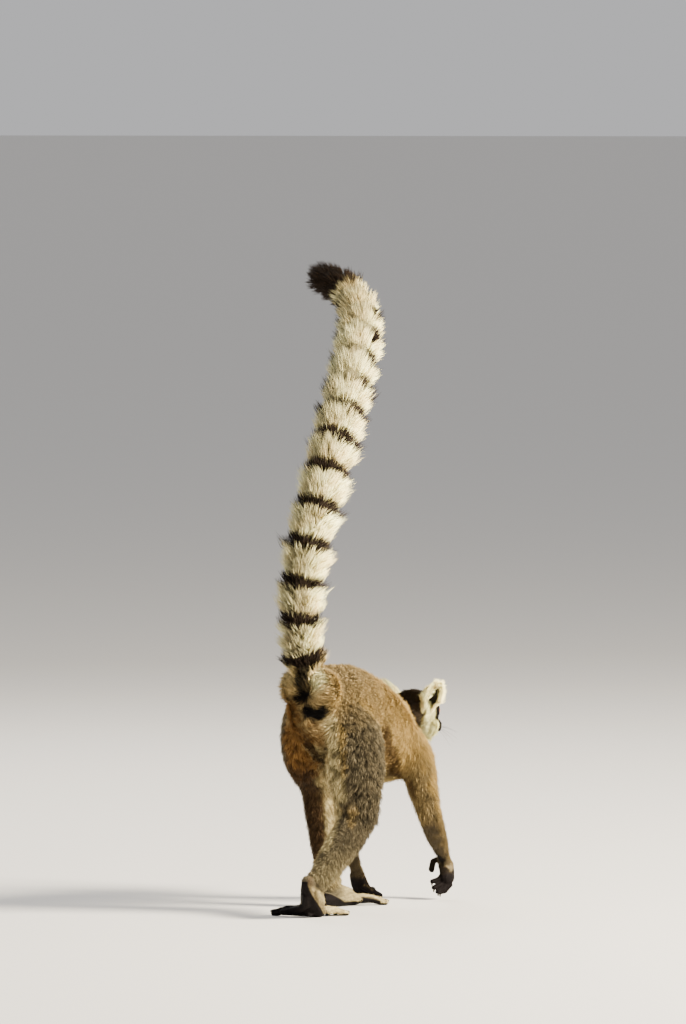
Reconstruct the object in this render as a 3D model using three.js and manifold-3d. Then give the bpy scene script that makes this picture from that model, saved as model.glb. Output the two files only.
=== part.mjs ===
// A ring-tailed lemur (Lemur catta) in mid stride, life size, as a still model.
// It walks towards -Y with its tail held up. The right hand swings clear of the floor, and the right foot is
// about to leave it, heel first. Millimetres, +Z up, +X is the animal's left.
// The surface of every solid is the outer surface of the coat.

import * as THREE from "three";
import { mergeVertices } from "three/addons/utils/BufferGeometryUtils.js";
import Module from "manifold-3d";

const wasm = await Module();
wasm.setup();
const { Manifold, Mesh } = wasm;

// ---------------------------------------------------------------------------------------------------------
// Driving dimensions
// ---------------------------------------------------------------------------------------------------------

const JOINT_GAP = 0.3; // clear space kept where two neighbouring nodes meet
const FINEST_DETAIL = 0.16; // slivers thinner than this are smoothed away
const BASE_CENTRE = { forward: 103, left: 0 }; // the middle of the model's box, which becomes the origin

const HIP_HEIGHT = 256;
const SHOULDER_HEIGHT = 193;
const SHOULDER_FORWARD = 200;

const HEAD = {
  centre: [247.5, -22, 233.5], // forward, left, height of the middle of the skull
  turn: 12, // degrees to the animal's right
  nod: 8, // degrees down
};
const EYE_RADIUS = 8.2;
const EYE_SIDES = 10;
const LID_THICKNESS = 1.3;

const TAIL_RINGS = 13; // dark rings before the dark tip
const TAIL_DARK_SHARE = 0.31; // of one dark and one pale ring together
const RING_PITCH = { first: 51, last: 35.3 }; // one dark and one pale ring, at the two ends of the tail
const TAIL_CORE_SHARE = 0.6; // radius of the solid core against the tips of the coat
const LOCKS_ROUND = 7; // locks in one circle round the tail
const TIP_ROUNDING = 8; // the last of the tail's line, which only locks reach

// ---------------------------------------------------------------------------------------------------------
// Solids and meshes
// ---------------------------------------------------------------------------------------------------------

const at = (forward, left, height) => new THREE.Vector3(left, -forward, height);
const LEFT = at(0, 1, 0);
const UP = at(0, 0, 1);

function solidFrom(geometry) {
  const bare = geometry.clone();
  bare.deleteAttribute("normal");
  bare.deleteAttribute("uv");
  const merged = mergeVertices(bare, 1e-4);
  return new Manifold(
    new Mesh({
      numProp: 3,
      vertProperties: merged.attributes.position.array,
      triVerts: new Uint32Array(merged.index.array),
    }),
  );
}

function geometryFrom(solid) {
  const mesh = solid.getMesh();
  const positions = new Float32Array(mesh.numVert * 3);
  for (let i = 0; i < mesh.numVert; i++) {
    positions.set(mesh.vertProperties.subarray(i * mesh.numProp, i * mesh.numProp + 3), i * 3);
  }
  const geometry = new THREE.BufferGeometry();
  geometry.setAttribute("position", new THREE.BufferAttribute(positions, 3));
  geometry.setIndex(new THREE.BufferAttribute(new Uint32Array(mesh.triVerts), 1));
  geometry.computeVertexNormals();
  return geometry;
}

const joined = (...solids) => Manifold.union(solids.flat());

// The largest closed surface of a solid: fills sealed hollows and drops loose scraps.
function largest(solid) {
  return solid
    .decompose()
    .reduce((best, piece) => (piece.volume() > best.volume() ? piece : best));
}

// A closed surface through rings of points, with a single point at each end.
function skinOver(rings, start, end) {
  const sides = rings[0].length;
  const positions = [start, ...rings.flat(), end].flatMap((p) => [p.x, p.y, p.z]);
  const ringStart = (i) => 1 + i * sides;
  const last = rings.length - 1;
  const index = [];
  for (let k = 0; k < sides; k++) {
    const next = (k + 1) % sides;
    index.push(0, ringStart(0) + next, ringStart(0) + k);
    index.push(1 + rings.length * sides, ringStart(last) + k, ringStart(last) + next);
    for (let i = 0; i < last; i++) {
      const a = ringStart(i) + k;
      const b = ringStart(i) + next;
      const c = ringStart(i + 1) + next;
      const d = ringStart(i + 1) + k;
      index.push(a, b, c, a, c, d);
    }
  }
  const geometry = new THREE.BufferGeometry();
  geometry.setAttribute("position", new THREE.Float32BufferAttribute(positions, 3));
  geometry.setIndex(index);
  return geometry;
}

// A limb-like form through stations [centre, half width, half depth]. The width lies along `side`, square to
// the form's own line, and both ends are domed. `grow` swells it all round.
class Loft {
  constructor(stations, { side = LEFT, sides, steps, startCap = 0.8, endCap = 0.8, domes = [0.6] }) {
    this.line = new THREE.CatmullRomCurve3(stations.map(([centre]) => centre), false, "centripetal");
    this.sizes = new THREE.CatmullRomCurve3(
      stations.map(([, width, depth]) => new THREE.Vector3(width, depth, 0)),
      false,
      "catmullrom",
      0.4,
    );
    Object.assign(this, { side, sides, steps, startCap, endCap, domes });
  }

  ring(u, grow, shift = 0, scale = 1) {
    const tangent = this.line.getTangent(u);
    const across = this.side.clone().addScaledVector(tangent, -this.side.dot(tangent)).normalize();
    const deep = new THREE.Vector3().crossVectors(tangent, across);
    const size = this.sizes.getPoint(u);
    const centre = this.line.getPoint(u).addScaledVector(tangent, shift);
    return Array.from({ length: this.sides }, (_, k) => {
      const angle = (2 * Math.PI * k) / this.sides;
      return centre
        .clone()
        .addScaledVector(across, (size.x + grow) * scale * Math.cos(angle))
        .addScaledVector(deep, (size.y + grow) * scale * Math.sin(angle));
    });
  }

  // A point on the surface: u along the form, angle in degrees from the side axis.
  surface(u, degrees) {
    const angle = THREE.MathUtils.degToRad(degrees);
    const tangent = this.line.getTangent(u);
    const across = this.side.clone().addScaledVector(tangent, -this.side.dot(tangent)).normalize();
    const deep = new THREE.Vector3().crossVectors(tangent, across);
    const size = this.sizes.getPoint(u);
    return this.line
      .getPoint(u)
      .addScaledVector(across, size.x * Math.cos(angle))
      .addScaledVector(deep, size.y * Math.sin(angle));
  }

  solid(grow = 0) {
    const rings = [];
    const reach = (u, cap) => {
      const size = this.sizes.getPoint(u);
      return (cap * (size.x + size.y)) / 2 + grow;
    };
    const first = reach(0, this.startCap);
    const final = reach(1, this.endCap);
    for (const share of [...this.domes].reverse()) {
      rings.push(this.ring(0, grow, -first * share, Math.sqrt(1 - share * share)));
    }
    for (let i = 0; i <= this.steps; i++) rings.push(this.ring(i / this.steps, grow));
    for (const share of this.domes) {
      rings.push(this.ring(1, grow, final * share, Math.sqrt(1 - share * share)));
    }
    const start = this.line.getPoint(0).addScaledVector(this.line.getTangent(0), -first);
    const end = this.line.getPoint(1).addScaledVector(this.line.getTangent(1), final);
    return solidFrom(skinOver(rings, start, end));
  }
}

const loft = (stations, options = {}) => new Loft(stations, options);

function ellipsoid(centre, radii, turn = new THREE.Quaternion(), detail = 12) {
  const geometry = new THREE.SphereGeometry(1, detail, Math.round(detail * 0.7));
  geometry.applyMatrix4(new THREE.Matrix4().compose(centre, turn, radii));
  return solidFrom(geometry);
}

const ball = (centre, radius, detail) =>
  ellipsoid(centre, new THREE.Vector3(radius, radius, radius), undefined, detail);

// A flat, tapered lock of hair. It leaves `root` along `out`, bends towards `lie`, and is widest along
// `across`. Its underside is flat, and its upper side has a low ridge.
const LOCK_SPANS = [
  { along: 0, width: 0.8, rise: 1 },
  { along: 0.52, width: 1, rise: 0.85 },
];

function lock({ root, out, lie, across, length, width, thickness }) {
  const middle = root.clone().addScaledVector(out, length * 0.5);
  const tip = middle.clone().addScaledVector(lie, length * 0.5);
  const bend = new THREE.QuadraticBezierCurve3(root, middle, tip);
  const rings = LOCK_SPANS.map((span) => {
    const centre = bend.getPoint(span.along);
    const upper = new THREE.Vector3().crossVectors(bend.getTangent(span.along), across).normalize();
    const half = across.clone().multiplyScalar((width * span.width) / 2);
    const ridge = centre.clone().addScaledVector(upper, thickness * span.rise * 0.7);
    centre.addScaledVector(upper, -thickness * span.rise * 0.3);
    return [centre.clone().add(half), ridge, centre.clone().sub(half)];
  });
  return solidFrom(skinOver(rings, root.clone(), tip));
}

// ---------------------------------------------------------------------------------------------------------
// Finishes and the list of nodes
// ---------------------------------------------------------------------------------------------------------

const finish = (color, roughness) => new THREE.MeshStandardMaterial({ color, roughness, metalness: 0 });
const FINISHES = {
  greyCoat: finish(0x8a8170, 0.95),
  tanCoat: finish(0xa98c66, 0.95),
  paleCoat: finish(0xe4dcc4, 0.95),
  darkCoat: finish(0x1d1814, 0.9),
  crownCoat: finish(0x4a443c, 0.95),
  darkSkin: finish(0x15120f, 0.6),
  eye: finish(0xb4621c, 0.1),
};

const lemur = new THREE.Group();
const nodes = new Map();

function addNode(name, solid, material) {
  const whole = largest(largest(solid).simplify(FINEST_DETAIL));
  nodes.set(name, whole);
  const mesh = new THREE.Mesh(geometryFrom(whole), material);
  mesh.name = name;
  lemur.add(mesh);
}

// The part of a solid between two cuts. Each cut is [point, direction towards what is kept].
function between(solid, ...cuts) {
  return cuts.reduce(
    (kept, [point, direction]) =>
      kept.trimByPlane(direction.toArray(), point.dot(direction) + JOINT_GAP / 2),
    solid,
  );
}

const aboveFloor = (solid) => solid.trimByPlane(UP.toArray(), 0);

// ---------------------------------------------------------------------------------------------------------
// Trunk and neck
// ---------------------------------------------------------------------------------------------------------

const trunk = loft(
  [
    [at(-42, 0, 251), 27, 27],
    [at(-24, -1, 252), 37, 45],
    [at(10, -2, 250), 45, 59],
    [at(50, -2, 245), 48, 65],
    [at(100, -2, 232.5), 49, 66],
    [at(150, -3, 217), 48, 62],
    [at(188, -5, 203), 46, 53],
    [at(210, -8, 203), 37, 42],
    [at(228, -12, 215), 29, 32],
    [at(246, -19, 234), 27, 27],
  ],
  { sides: 16, steps: 15, startCap: 0.45, endCap: 0.3 },
);

// The curls of hair on each side of the root of the tail.
const curls = (grow = 0) =>
  [1, -1].map((hand) => {
    const radii = [18.5, 24, 26].map((radius) => radius + grow);
    return ellipsoid(at(-34, hand * 21, 283), new THREE.Vector3(...radii), undefined, 8);
  });

const trunkSolid = joined(trunk.solid(), curls());
const trunkGrown = joined(trunkSolid, trunk.solid(JOINT_GAP * 1.5), curls(JOINT_GAP * 1.5));

const TRUNK_CUTS = {
  loin: [at(45, 0, 245), at(1, 0, -0.12).normalize()],
  waist: [at(118, 0, 222), at(1, 0, -0.3).normalize()],
  collar: [at(216, -8, 206), at(1, -0.1, 0.55).normalize()],
};
const ahead = ([point, way]) => [point, way];
const behind = ([point, way]) => [point, way.clone().negate()];

// ---------------------------------------------------------------------------------------------------------
// Head
// ---------------------------------------------------------------------------------------------------------

const headTurn = new THREE.Quaternion()
  .setFromAxisAngle(UP, THREE.MathUtils.degToRad(-HEAD.turn))
  .multiply(new THREE.Quaternion().setFromAxisAngle(LEFT, THREE.MathUtils.degToRad(HEAD.nod)));
const headPlace = new THREE.Matrix4().compose(at(...HEAD.centre), headTurn, new THREE.Vector3(1, 1, 1));
const inHead = (forward, left, height) => at(forward, left, height).applyMatrix4(headPlace);
const headWay = (forward, left, height) => at(forward, left, height).normalize().applyQuaternion(headTurn);

// Skull and muzzle, from the nape to the tip of the nose.
const skull = loft(
  [
    [inHead(-34, 0, 2), 21, 21],
    [inHead(-20, 0, 4), 28.5, 28],
    [inHead(-2, 0, 4), 31, 30],
    [inHead(12, 0, 2), 28.5, 26.5],
    [inHead(22, 0, -2), 22, 21],
    [inHead(30, 0, -6), 15.5, 16],
    [inHead(40, 0, -9), 11.6, 12.8],
    [inHead(49, 0, -11), 9.4, 10.2],
  ],
  { side: headWay(0, 1, 0), sides: 16, steps: 10, endCap: 0.7 },
);

const NOSE = { centre: inHead(54, 0, -7.5), radii: [6.6, 4.6, 4.8] };
const eyeCentre = (hand) => inHead(17.5, hand * 16.5, 8);
const eyeWay = (hand) => headWay(0.8, hand * 0.56, 0.12);
const noseSolid = (grow = 0) =>
  ellipsoid(
    NOSE.centre,
    new THREE.Vector3(...NOSE.radii.map((r) => r + grow)),
    headTurn,
    9,
  );

function nostril(hand) {
  return ellipsoid(
    inHead(58.2, hand * 3.2, -7),
    new THREE.Vector3(1.3, 2.6, 1.7),
    headTurn.clone().multiply(new THREE.Quaternion().setFromAxisAngle(UP, hand * 0.5)),
    6,
  );
}

// The line of the mouth, a groove run back along each side of the muzzle below the nose.
function mouthLine(hand) {
  const stations = [0.99, 0.93, 0.86, 0.78, 0.71].map((u, i) => [
    skull.surface(u, hand > 0 ? -44 + i * 4 : 180 + 44 - i * 4),
    0.9,
    0.9,
  ]);
  return loft(stations, { side: headWay(0, 0, 1), sides: 5, steps: 4 }).solid();
}

// Lids: a shell over each eyeball with an almond-shaped opening, which an opening cut then clears.
const lidShell = (hand) => ball(eyeCentre(hand), EYE_RADIUS + JOINT_GAP + LID_THICKNESS, 10);
function lidOpening(hand) {
  const way = eyeWay(hand);
  const turn = new THREE.Quaternion().setFromUnitVectors(new THREE.Vector3(0, 0, 1), way);
  return ellipsoid(
    eyeCentre(hand).addScaledVector(way, EYE_RADIUS),
    new THREE.Vector3(6.6, 6, 6),
    turn,
    9,
  );
}

const CHEEK = { forward: 2, side: 14, up: -11.5, radii: [18, 24, 18] };
const cheek = (hand, grow = 0) =>
  ellipsoid(
    inHead(CHEEK.forward, hand * CHEEK.side, CHEEK.up),
    new THREE.Vector3(...CHEEK.radii.map((r) => r + grow)),
    headTurn,
    10,
  );

function headSolid() {
  const cheeks = [1, -1].map((hand) => cheek(hand));
  const brows = [1, -1].map((hand) =>
    ellipsoid(inHead(17, hand * 13, 14), new THREE.Vector3(8, 9, 5.5), headTurn, 8),
  );
  const chin = ellipsoid(inHead(36, 0, -16.5), new THREE.Vector3(8, 15, 5.5), headTurn, 8);
  const throat = between(trunkSolid, ahead(TRUNK_CUTS.collar));
  let head = joined(skull.solid(), cheeks, brows, chin, throat, [1, -1].map(lidShell));
  for (const hand of [1, -1]) {
    head = head
      .subtract(ball(eyeCentre(hand), EYE_RADIUS + JOINT_GAP, EYE_SIDES))
      .subtract(lidOpening(hand))
      .subtract(mouthLine(hand));
  }
  return head.subtract(noseSolid(JOINT_GAP));
}

const HEAD_CUT = [inHead(-15, 0, 0), headWay(1, 0, 0)]; // the head lies ahead of this plane
const headWhole = headSolid();
const skullGrown = skull.solid(JOINT_GAP);

// ---------------------------------------------------------------------------------------------------------
// Ears: a curled leaf turned back and open along its outer side, with pale locks round its rim
// ---------------------------------------------------------------------------------------------------------

const EAR = {
  root: (hand) => [-9, hand * 23, 12], // forward, left, up from the middle of the skull
  axis: { left: [-0.12, 0.38, 0.86], right: [-0.12, -0.56, 0.82] },
  open: { left: [-0.42, 0.87, -0.2], right: [-0.42, -0.85, -0.2] },
  height: 35,
  width: 14.5,
  depth: 10.5,
  wall: 3.2,
  curl: 105, // degrees to each side that the leaf wraps round
  sections: [
    { height: 0, width: 0.62, depth: 0.8 },
    { height: 0.25, width: 0.92, depth: 1 },
    { height: 0.5, width: 1, depth: 0.95 },
    { height: 0.72, width: 0.8, depth: 0.75 },
    { height: 0.9, width: 0.48, depth: 0.5 },
  ],
  sides: 5,
};

function earSolid(hand) {
  const side = hand > 0 ? "left" : "right";
  const axis = headWay(...EAR.axis[side]);
  const open = headWay(...EAR.open[side]);
  const face = open.clone().addScaledVector(axis, -open.dot(axis)).normalize();
  const across = new THREE.Vector3().crossVectors(axis, face);
  const root = inHead(...EAR.root(hand));
  const place = ({ height, width, depth }, degrees, inward) => {
    const angle = THREE.MathUtils.degToRad(degrees);
    return root
      .clone()
      .addScaledVector(axis, EAR.height * height)
      .addScaledVector(across, (EAR.width * width - inward) * Math.sin(angle))
      .addScaledVector(face, -(EAR.depth * depth - inward) * Math.cos(angle));
  };
  const degreesAt = (k) => THREE.MathUtils.lerp(EAR.curl, -EAR.curl, k / EAR.sides);
  const steps = Array.from({ length: EAR.sides + 1 }, (_, k) => degreesAt(k));
  const rings = EAR.sections.map((section) => [
    ...steps.map((degrees) => place(section, degrees, 0)),
    ...[...steps].reverse().map((degrees) => place(section, degrees, EAR.wall * Math.sqrt(section.depth))),
  ]);
  const foot = root.clone().addScaledVector(axis, -9);
  const tip = root.clone().addScaledVector(axis, EAR.height).addScaledVector(face, -1);
  const leaf = solidFrom(skinOver(rings, foot, tip));

  const locks = [];
  for (const rim of [-1, 1]) {
    for (const section of EAR.sections.slice(3)) {
      const edge = place(section, rim * EAR.curl, EAR.wall / 2);
      const out = across.clone().multiplyScalar(rim * 0.7).addScaledVector(axis, 0.6);
      out.addScaledVector(face, 0.35).normalize();
      const lie = out.clone().addScaledVector(axis, 0.7).normalize();
      const along = new THREE.Vector3().crossVectors(out, face).normalize();
      edge.addScaledVector(out, -2.6).addScaledVector(face, -0.4);
      locks.push(lock({ root: edge, out, lie, across: along, length: 11, width: 9, thickness: 2.6 }));
    }
  }
  const crest = root.clone().addScaledVector(axis, EAR.height * 0.86).addScaledVector(face, -2);
  locks.push(lock({ root: crest, out: axis, lie: axis, across, length: 11, width: 9, thickness: 3 }));
  return joined(leaf, locks).subtract(skullGrown);
}

// ---------------------------------------------------------------------------------------------------------
// Limbs. `hand` is 1 on the animal's left and -1 on its right.
// ---------------------------------------------------------------------------------------------------------

const LEGS = {
  right: {
    hand: -1,
    hip: at(2, -26, HIP_HEIGHT),
    out: 9,
    knee: at(31, -36, 118),
    calf: at(-8, -33, 90),
    ankle: at(-66, -25, 50),
    foot: {
      heel: at(-84, -17, 48),
      sole: at(-63, -10, 29),
      pad: at(-39, -6, 7),
      thumbTip: at(-40, 48, 2.8),
      thumbRoot: at(-46, 0, 12.5),
      tips: [at(-8, -11, 2.5), at(-1, -19, 2.5), at(0, -28, 2.5), at(-6, -36, 2.5)],
    },
  },
  left: {
    hand: 1,
    hip: at(4, 24, HIP_HEIGHT),
    out: 2,
    knee: at(104, 51, 164),
    calf: at(104, 46, 120),
    ankle: at(93, 30, 34),
    foot: {
      heel: at(74, 31, 10),
      sole: at(105, 25, 9.8),
      pad: at(136, 17, 7),
      thumbTip: at(150, -22, 2.8),
      thumbRoot: at(122, 10, 10),
      tips: [at(170, 1, 2.5), at(177, 11, 2.5), at(175, 21, 2.5), at(165, 30, 2.5)],
    },
  },
};

const ARMS = {
  right: {
    hand: -1,
    shoulder: at(SHOULDER_FORWARD - 2, -40, SHOULDER_HEIGHT + 2),
    elbow: at(172, -73, 114),
    wrist: at(254, -60, 52),
    paw: {
      palm: at(256, -62, 40),
      knuckles: at(254, -64, 27),
      across: at(-0.35, 0.25, 0.9),
      thumbRoot: at(257, -57, 45),
      thumbMiddle: at(258, -45.5, 51.5),
      thumbTip: at(250, -44, 37),
      tips: [at(237, -50, 23.5), at(235, -53, 16), at(239, -56.5, 10.5), at(246, -56, 9)],
      curl: at(1, -1, -3),
    },
  },
  left: {
    hand: 1,
    shoulder: at(SHOULDER_FORWARD + 2, 34, SHOULDER_HEIGHT),
    elbow: at(160, 50, 116),
    wrist: at(216, 45, 37),
    paw: {
      palm: at(226, 46, 21),
      knuckles: at(238, 46, 9.5),
      across: at(0.1, -1, 0),
      thumbRoot: at(226, 40, 16),
      thumbMiddle: at(236, 30, 7.5),
      thumbTip: at(244, 24, 2.4),
      tips: [at(262, 38, 1.7), at(267, 47, 1.7), at(264, 56, 1.7), at(255, 64, 1.7)],
      curl: at(0, 0, 5),
    },
  },
};

const mix = (a, b, share) => a.clone().lerp(b, share);

// A finger or toe: from its root to its tip, its joints raised by `lift`, with a rounded pad at the end.
function digit(root, tip, lift, radius) {
  const stations = [
    [root, radius * 1.1, radius],
    [mix(root, tip, 0.36).add(lift), radius, radius * 0.95],
    [mix(root, tip, 0.74).addScaledVector(lift, 0.7), radius * 0.86, radius * 0.86],
    [tip, radius * 0.95, radius * 0.8],
  ];
  return loft(stations, { sides: 5, steps: 2 }).solid();
}

function thigh({ hip, knee, hand, out: bulge }) {
  const out = (share) => at(0, hand * bulge * share, 0);
  return loft(
    [
      [hip, 23, 31],
      [mix(hip, knee, 0.2).add(out(1)), 30, 50],
      [mix(hip, knee, 0.5).add(out(0.8)), 33, 54],
      [mix(hip, knee, 0.78).add(out(0.35)), 29, 41],
      [knee, 25, 29],
    ],
    { sides: 14, steps: 7 },
  );
}

function shank({ knee, calf, ankle }) {
  return loft(
    [
      [knee, 23, 27],
      [calf, 22, 26],
      [mix(calf, ankle, 0.5), 19, 23],
      [mix(calf, ankle, 0.85), 17, 20.5],
      [ankle, 15.5, 18],
    ],
    { sides: 12, steps: 5 },
  );
}

function footSolid({ foot, ankle }) {
  const { heel, sole, pad, thumbRoot, thumbTip, tips } = foot;
  const body = loft(
    [
      [heel, 8.5, 8.5],
      [mix(heel, sole, 0.45), 10, 10.5],
      [sole, 12, 10.5],
      [pad, 15.5, 8],
    ],
    { sides: 8, steps: 4 },
  );
  const instep = loft(
    [
      [ankle, 13, 14],
      [mix(ankle, sole, 0.6), 12.5, 13],
      [mix(ankle, pad, 0.72), 12, 9],
    ],
    { sides: 8, steps: 3 },
  );
  const toes = tips.map((tip, i) =>
    digit(mix(pad, tip, 0.2).add(at(0, 0, 0.5)), tip, at(0, 0, i === 1 ? 4.5 : 3.5), 4.5),
  );
  const thumb = digit(thumbRoot, thumbTip, at(0, 0, 2.5), 5.8);
  return joined(body.solid(), instep.solid(), toes, thumb);
}

function upperArm({ shoulder, elbow, hand }) {
  return loft(
    [
      [shoulder.clone().add(at(2, -hand * 8, 10)), 20, 30],
      [mix(shoulder, elbow, 0.15), 23, 33],
      [mix(shoulder, elbow, 0.5), 20, 26],
      [mix(shoulder, elbow, 0.8), 17, 20],
      [elbow, 15.5, 17],
    ],
    { sides: 12, steps: 5 },
  );
}

function forearm({ elbow, wrist }) {
  return loft(
    [
      [elbow, 15, 16.5],
      [mix(elbow, wrist, 0.28), 15.5, 17],
      [mix(elbow, wrist, 0.62), 13, 14],
      [mix(elbow, wrist, 0.88), 10.2, 10.8],
      [wrist, 8.8, 9.2],
    ],
    { sides: 10, steps: 6 },
  );
}

function pawSolid({ wrist, paw }) {
  const { palm, knuckles, across, thumbRoot, thumbMiddle, thumbTip, tips, curl } = paw;
  const side = across.clone().normalize();
  const body = loft(
    [
      [wrist, 8, 8],
      [palm, 11, 7.5],
      [knuckles, 12, 6.2],
    ],
    { side, sides: 8, steps: 3 },
  );
  const fingers = tips.map((tip, i) => {
    const root = knuckles.clone().addScaledVector(side, 9.3 - i * 6.2);
    return digit(root, tip, curl, 3.2);
  });
  const thumb = loft(
    [
      [thumbRoot, 4.6, 4.6],
      [thumbMiddle, 3.7, 3.7],
      [thumbTip, 3.4, 3.4],
    ],
    { side: UP, sides: 5, steps: 3 },
  );
  return joined(body.solid(), fingers, thumb.solid());
}

// ---------------------------------------------------------------------------------------------------------
// Tail: a line through the middle of the bone, and the radius of the coat along it
// ---------------------------------------------------------------------------------------------------------

const tailLine = new THREE.CatmullRomCurve3(
  [
    at(14, 0, 281),
    at(-22, 0, 283),
    at(-47, 1, 302),
    at(-58, 2, 340),
    at(-64, 1, 400),
    at(-57, -8, 468),
    at(-36, -19, 540),
    at(2, -24, 614),
    at(48, -21, 674),
    at(103, -8, 729),
    at(143, 20, 762),
    at(163, 47, 780),
    at(171, 76, 787),
    at(173, 91, 787),
  ],
  false,
  "centripetal",
);
const TAIL_LENGTH = tailLine.getLength();
const TAIL_STEPS = 400;
const tailFrames = tailLine.computeFrenetFrames(TAIL_STEPS, false);

const ROOT_LENGTH = 89; // from the start of the line, inside the rump, to the first dark ring
const ringPitch = (i) => THREE.MathUtils.lerp(RING_PITCH.first, RING_PITCH.last, i / (TAIL_RINGS - 1));

// Radius to the tips of the coat, as [distance along the line, radius].
const TAIL_COAT = [
  [0, 24],
  [60, 29],
  [110, 32],
  [200, 33],
  [330, 37],
  [430, 38.5],
  [520, 36],
  [600, 30],
  [660, 25],
  [700, 20],
];
function coatRadius(along) {
  const next = TAIL_COAT.findIndex(([distance], i) => i > 0 && distance >= along);
  const [[from, before], [to, after]] = TAIL_COAT.slice(next - 1, next + 1);
  return THREE.MathUtils.mapLinear(along, from, to, before, after);
}

function tailFrame(along) {
  const u = THREE.MathUtils.clamp(along / TAIL_LENGTH, 0, 1);
  const tangent = tailLine.getTangentAt(u);
  const nearby = tailFrames.normals[Math.round(u * TAIL_STEPS)];
  const normal = nearby.clone().addScaledVector(tangent, -nearby.dot(tangent)).normalize();
  const binormal = new THREE.Vector3().crossVectors(tangent, normal);
  const centre = tailLine.getPointAt(u).addScaledVector(tangent, along - u * TAIL_LENGTH);
  return { centre, normal, binormal };
}

// The tail's nodes are shaped straight, with the bone along Z and heights that are distances along the tail.
// This bends such a solid onto the tail's line.
function bentOntoTail(solid) {
  const geometry = geometryFrom(solid);
  const positions = geometry.attributes.position;
  for (let i = 0; i < positions.count; i++) {
    const { centre, normal, binormal } = tailFrame(positions.getZ(i));
    centre.addScaledVector(normal, positions.getX(i)).addScaledVector(binormal, positions.getY(i));
    positions.setXYZ(i, centre.x, centre.y, centre.z);
  }
  return solidFrom(geometry);
}

const CORE_STEP = 18;

// A straight length of the tail's core, flat at both ends.
function tailCore(from, to, radiusAt, sides) {
  const count = Math.max(1, Math.round((to - from) / CORE_STEP));
  const rings = Array.from({ length: count + 1 }, (_, i) => {
    const along = THREE.MathUtils.lerp(from, to, i / count);
    return Array.from({ length: sides }, (_, k) => {
      const angle = (2 * Math.PI * (k + 0.5)) / sides;
      return new THREE.Vector3(Math.cos(angle), Math.sin(angle), 0)
        .multiplyScalar(radiusAt(along))
        .setZ(along);
    });
  });
  return solidFrom(skinOver(rings, new THREE.Vector3(0, 0, from), new THREE.Vector3(0, 0, to)));
}

// Seeded draws between -1 and 1, so that no two locks are quite alike.
let drawState = 7;
function draw() {
  drawState = (drawState * 16807) % 2147483647;
  return (2 * drawState) / 2147483647 - 1;
}

// One circle of locks round the straight tail. They are rooted in its core and slant towards the tip, steeply
// at first and then less, so that every circle lies clear under the next.
const LOCK = { leave: 64, finish: 32, sunk: 4.5, thickness: 4, widen: 1.08 };
const TAIL_WAY = new THREE.Vector3(0, 0, 1);

function tailLocks({ along, core, reach, count, phase = 0 }) {
  const steep = THREE.MathUtils.degToRad(LOCK.leave);
  const flat = THREE.MathUtils.degToRad(LOCK.finish);
  const width = ((2 * Math.PI * core) / count) * LOCK.widen;
  return Array.from({ length: count }, (_, k) => {
    const angle = (2 * Math.PI * (k + phase + draw() * 0.08)) / count;
    const away = new THREE.Vector3(Math.cos(angle), Math.sin(angle), 0);
    const rise = (reach - core) * (1 + draw() * 0.07) + LOCK.sunk * Math.sin(steep);
    const length = (2 * rise) / (Math.sin(steep) + Math.sin(flat));
    const out = away.clone().multiplyScalar(Math.sin(steep)).addScaledVector(TAIL_WAY, Math.cos(steep));
    const lie = away.clone().multiplyScalar(Math.sin(flat)).addScaledVector(TAIL_WAY, Math.cos(flat));
    const root = away.clone().multiplyScalar(core).setZ(along).addScaledVector(out, -LOCK.sunk);
    const across = new THREE.Vector3().crossVectors(away, TAIL_WAY);
    return lock({ root, out, lie, across, length, width, thickness: LOCK.thickness });
  });
}

// A length of the tail, between the distances `from` and `to`, with its core and its circles of locks. Each
// circle is [share of the length, reach against the coat's radius]. The core's radius is also a share of it.
const EVEN_CORE = [TAIL_CORE_SHARE, TAIL_CORE_SHARE];

function tailBand({ from, to, circles, locksRound = LOCKS_ROUND, coreShares = EVEN_CORE }) {
  const coreRadius = (along) => {
    const share = THREE.MathUtils.mapLinear(along, from, to, ...coreShares);
    return coatRadius(along) * share;
  };
  const locks = circles.map(([share, reach], i) => {
    const along = THREE.MathUtils.lerp(from, to, share);
    const phase = (i % 2) / 2;
    return tailLocks({
      along,
      core: coreRadius(along),
      reach: coatRadius(along) * reach,
      count: locksRound,
      phase,
    });
  });
  return bentOntoTail(joined(tailCore(from, to, coreRadius, locksRound), ...locks));
}

const tailRoot = {
  from: 0,
  to: ROOT_LENGTH - JOINT_GAP / 2,
  coreShares: [0.95, TAIL_CORE_SHARE],
  circles: [
    [0.6, 0.98],
    [0.84, 0.96],
  ],
};

// The bands of one dark and one pale ring.
const RING_BANDS = [
  { shade: "dark", share: TAIL_DARK_SHARE, material: FINISHES.darkCoat, circles: [[0.5, 0.88]] },
  {
    shade: "pale",
    share: 1 - TAIL_DARK_SHARE,
    material: FINISHES.paleCoat,
    circles: [
      [0.28, 1],
      [0.76, 1.02],
    ],
  },
];

const TIP_CIRCLES = [
  [0.22, 0.95],
  [0.55, 0.95],
  [0.88, 0.85],
];

// ---------------------------------------------------------------------------------------------------------
// The animal, node by node
// ---------------------------------------------------------------------------------------------------------

addNode("rump", between(trunkSolid, behind(TRUNK_CUTS.loin)), FINISHES.greyCoat);
addNode("abdomen", between(trunkSolid, ahead(TRUNK_CUTS.loin), behind(TRUNK_CUTS.waist)), FINISHES.greyCoat);
addNode("chest", between(trunkSolid, ahead(TRUNK_CUTS.waist), behind(TRUNK_CUTS.collar)), FINISHES.tanCoat);
addNode("neck", between(trunkSolid, ahead(TRUNK_CUTS.collar), behind(HEAD_CUT)), FINISHES.crownCoat);

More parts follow.
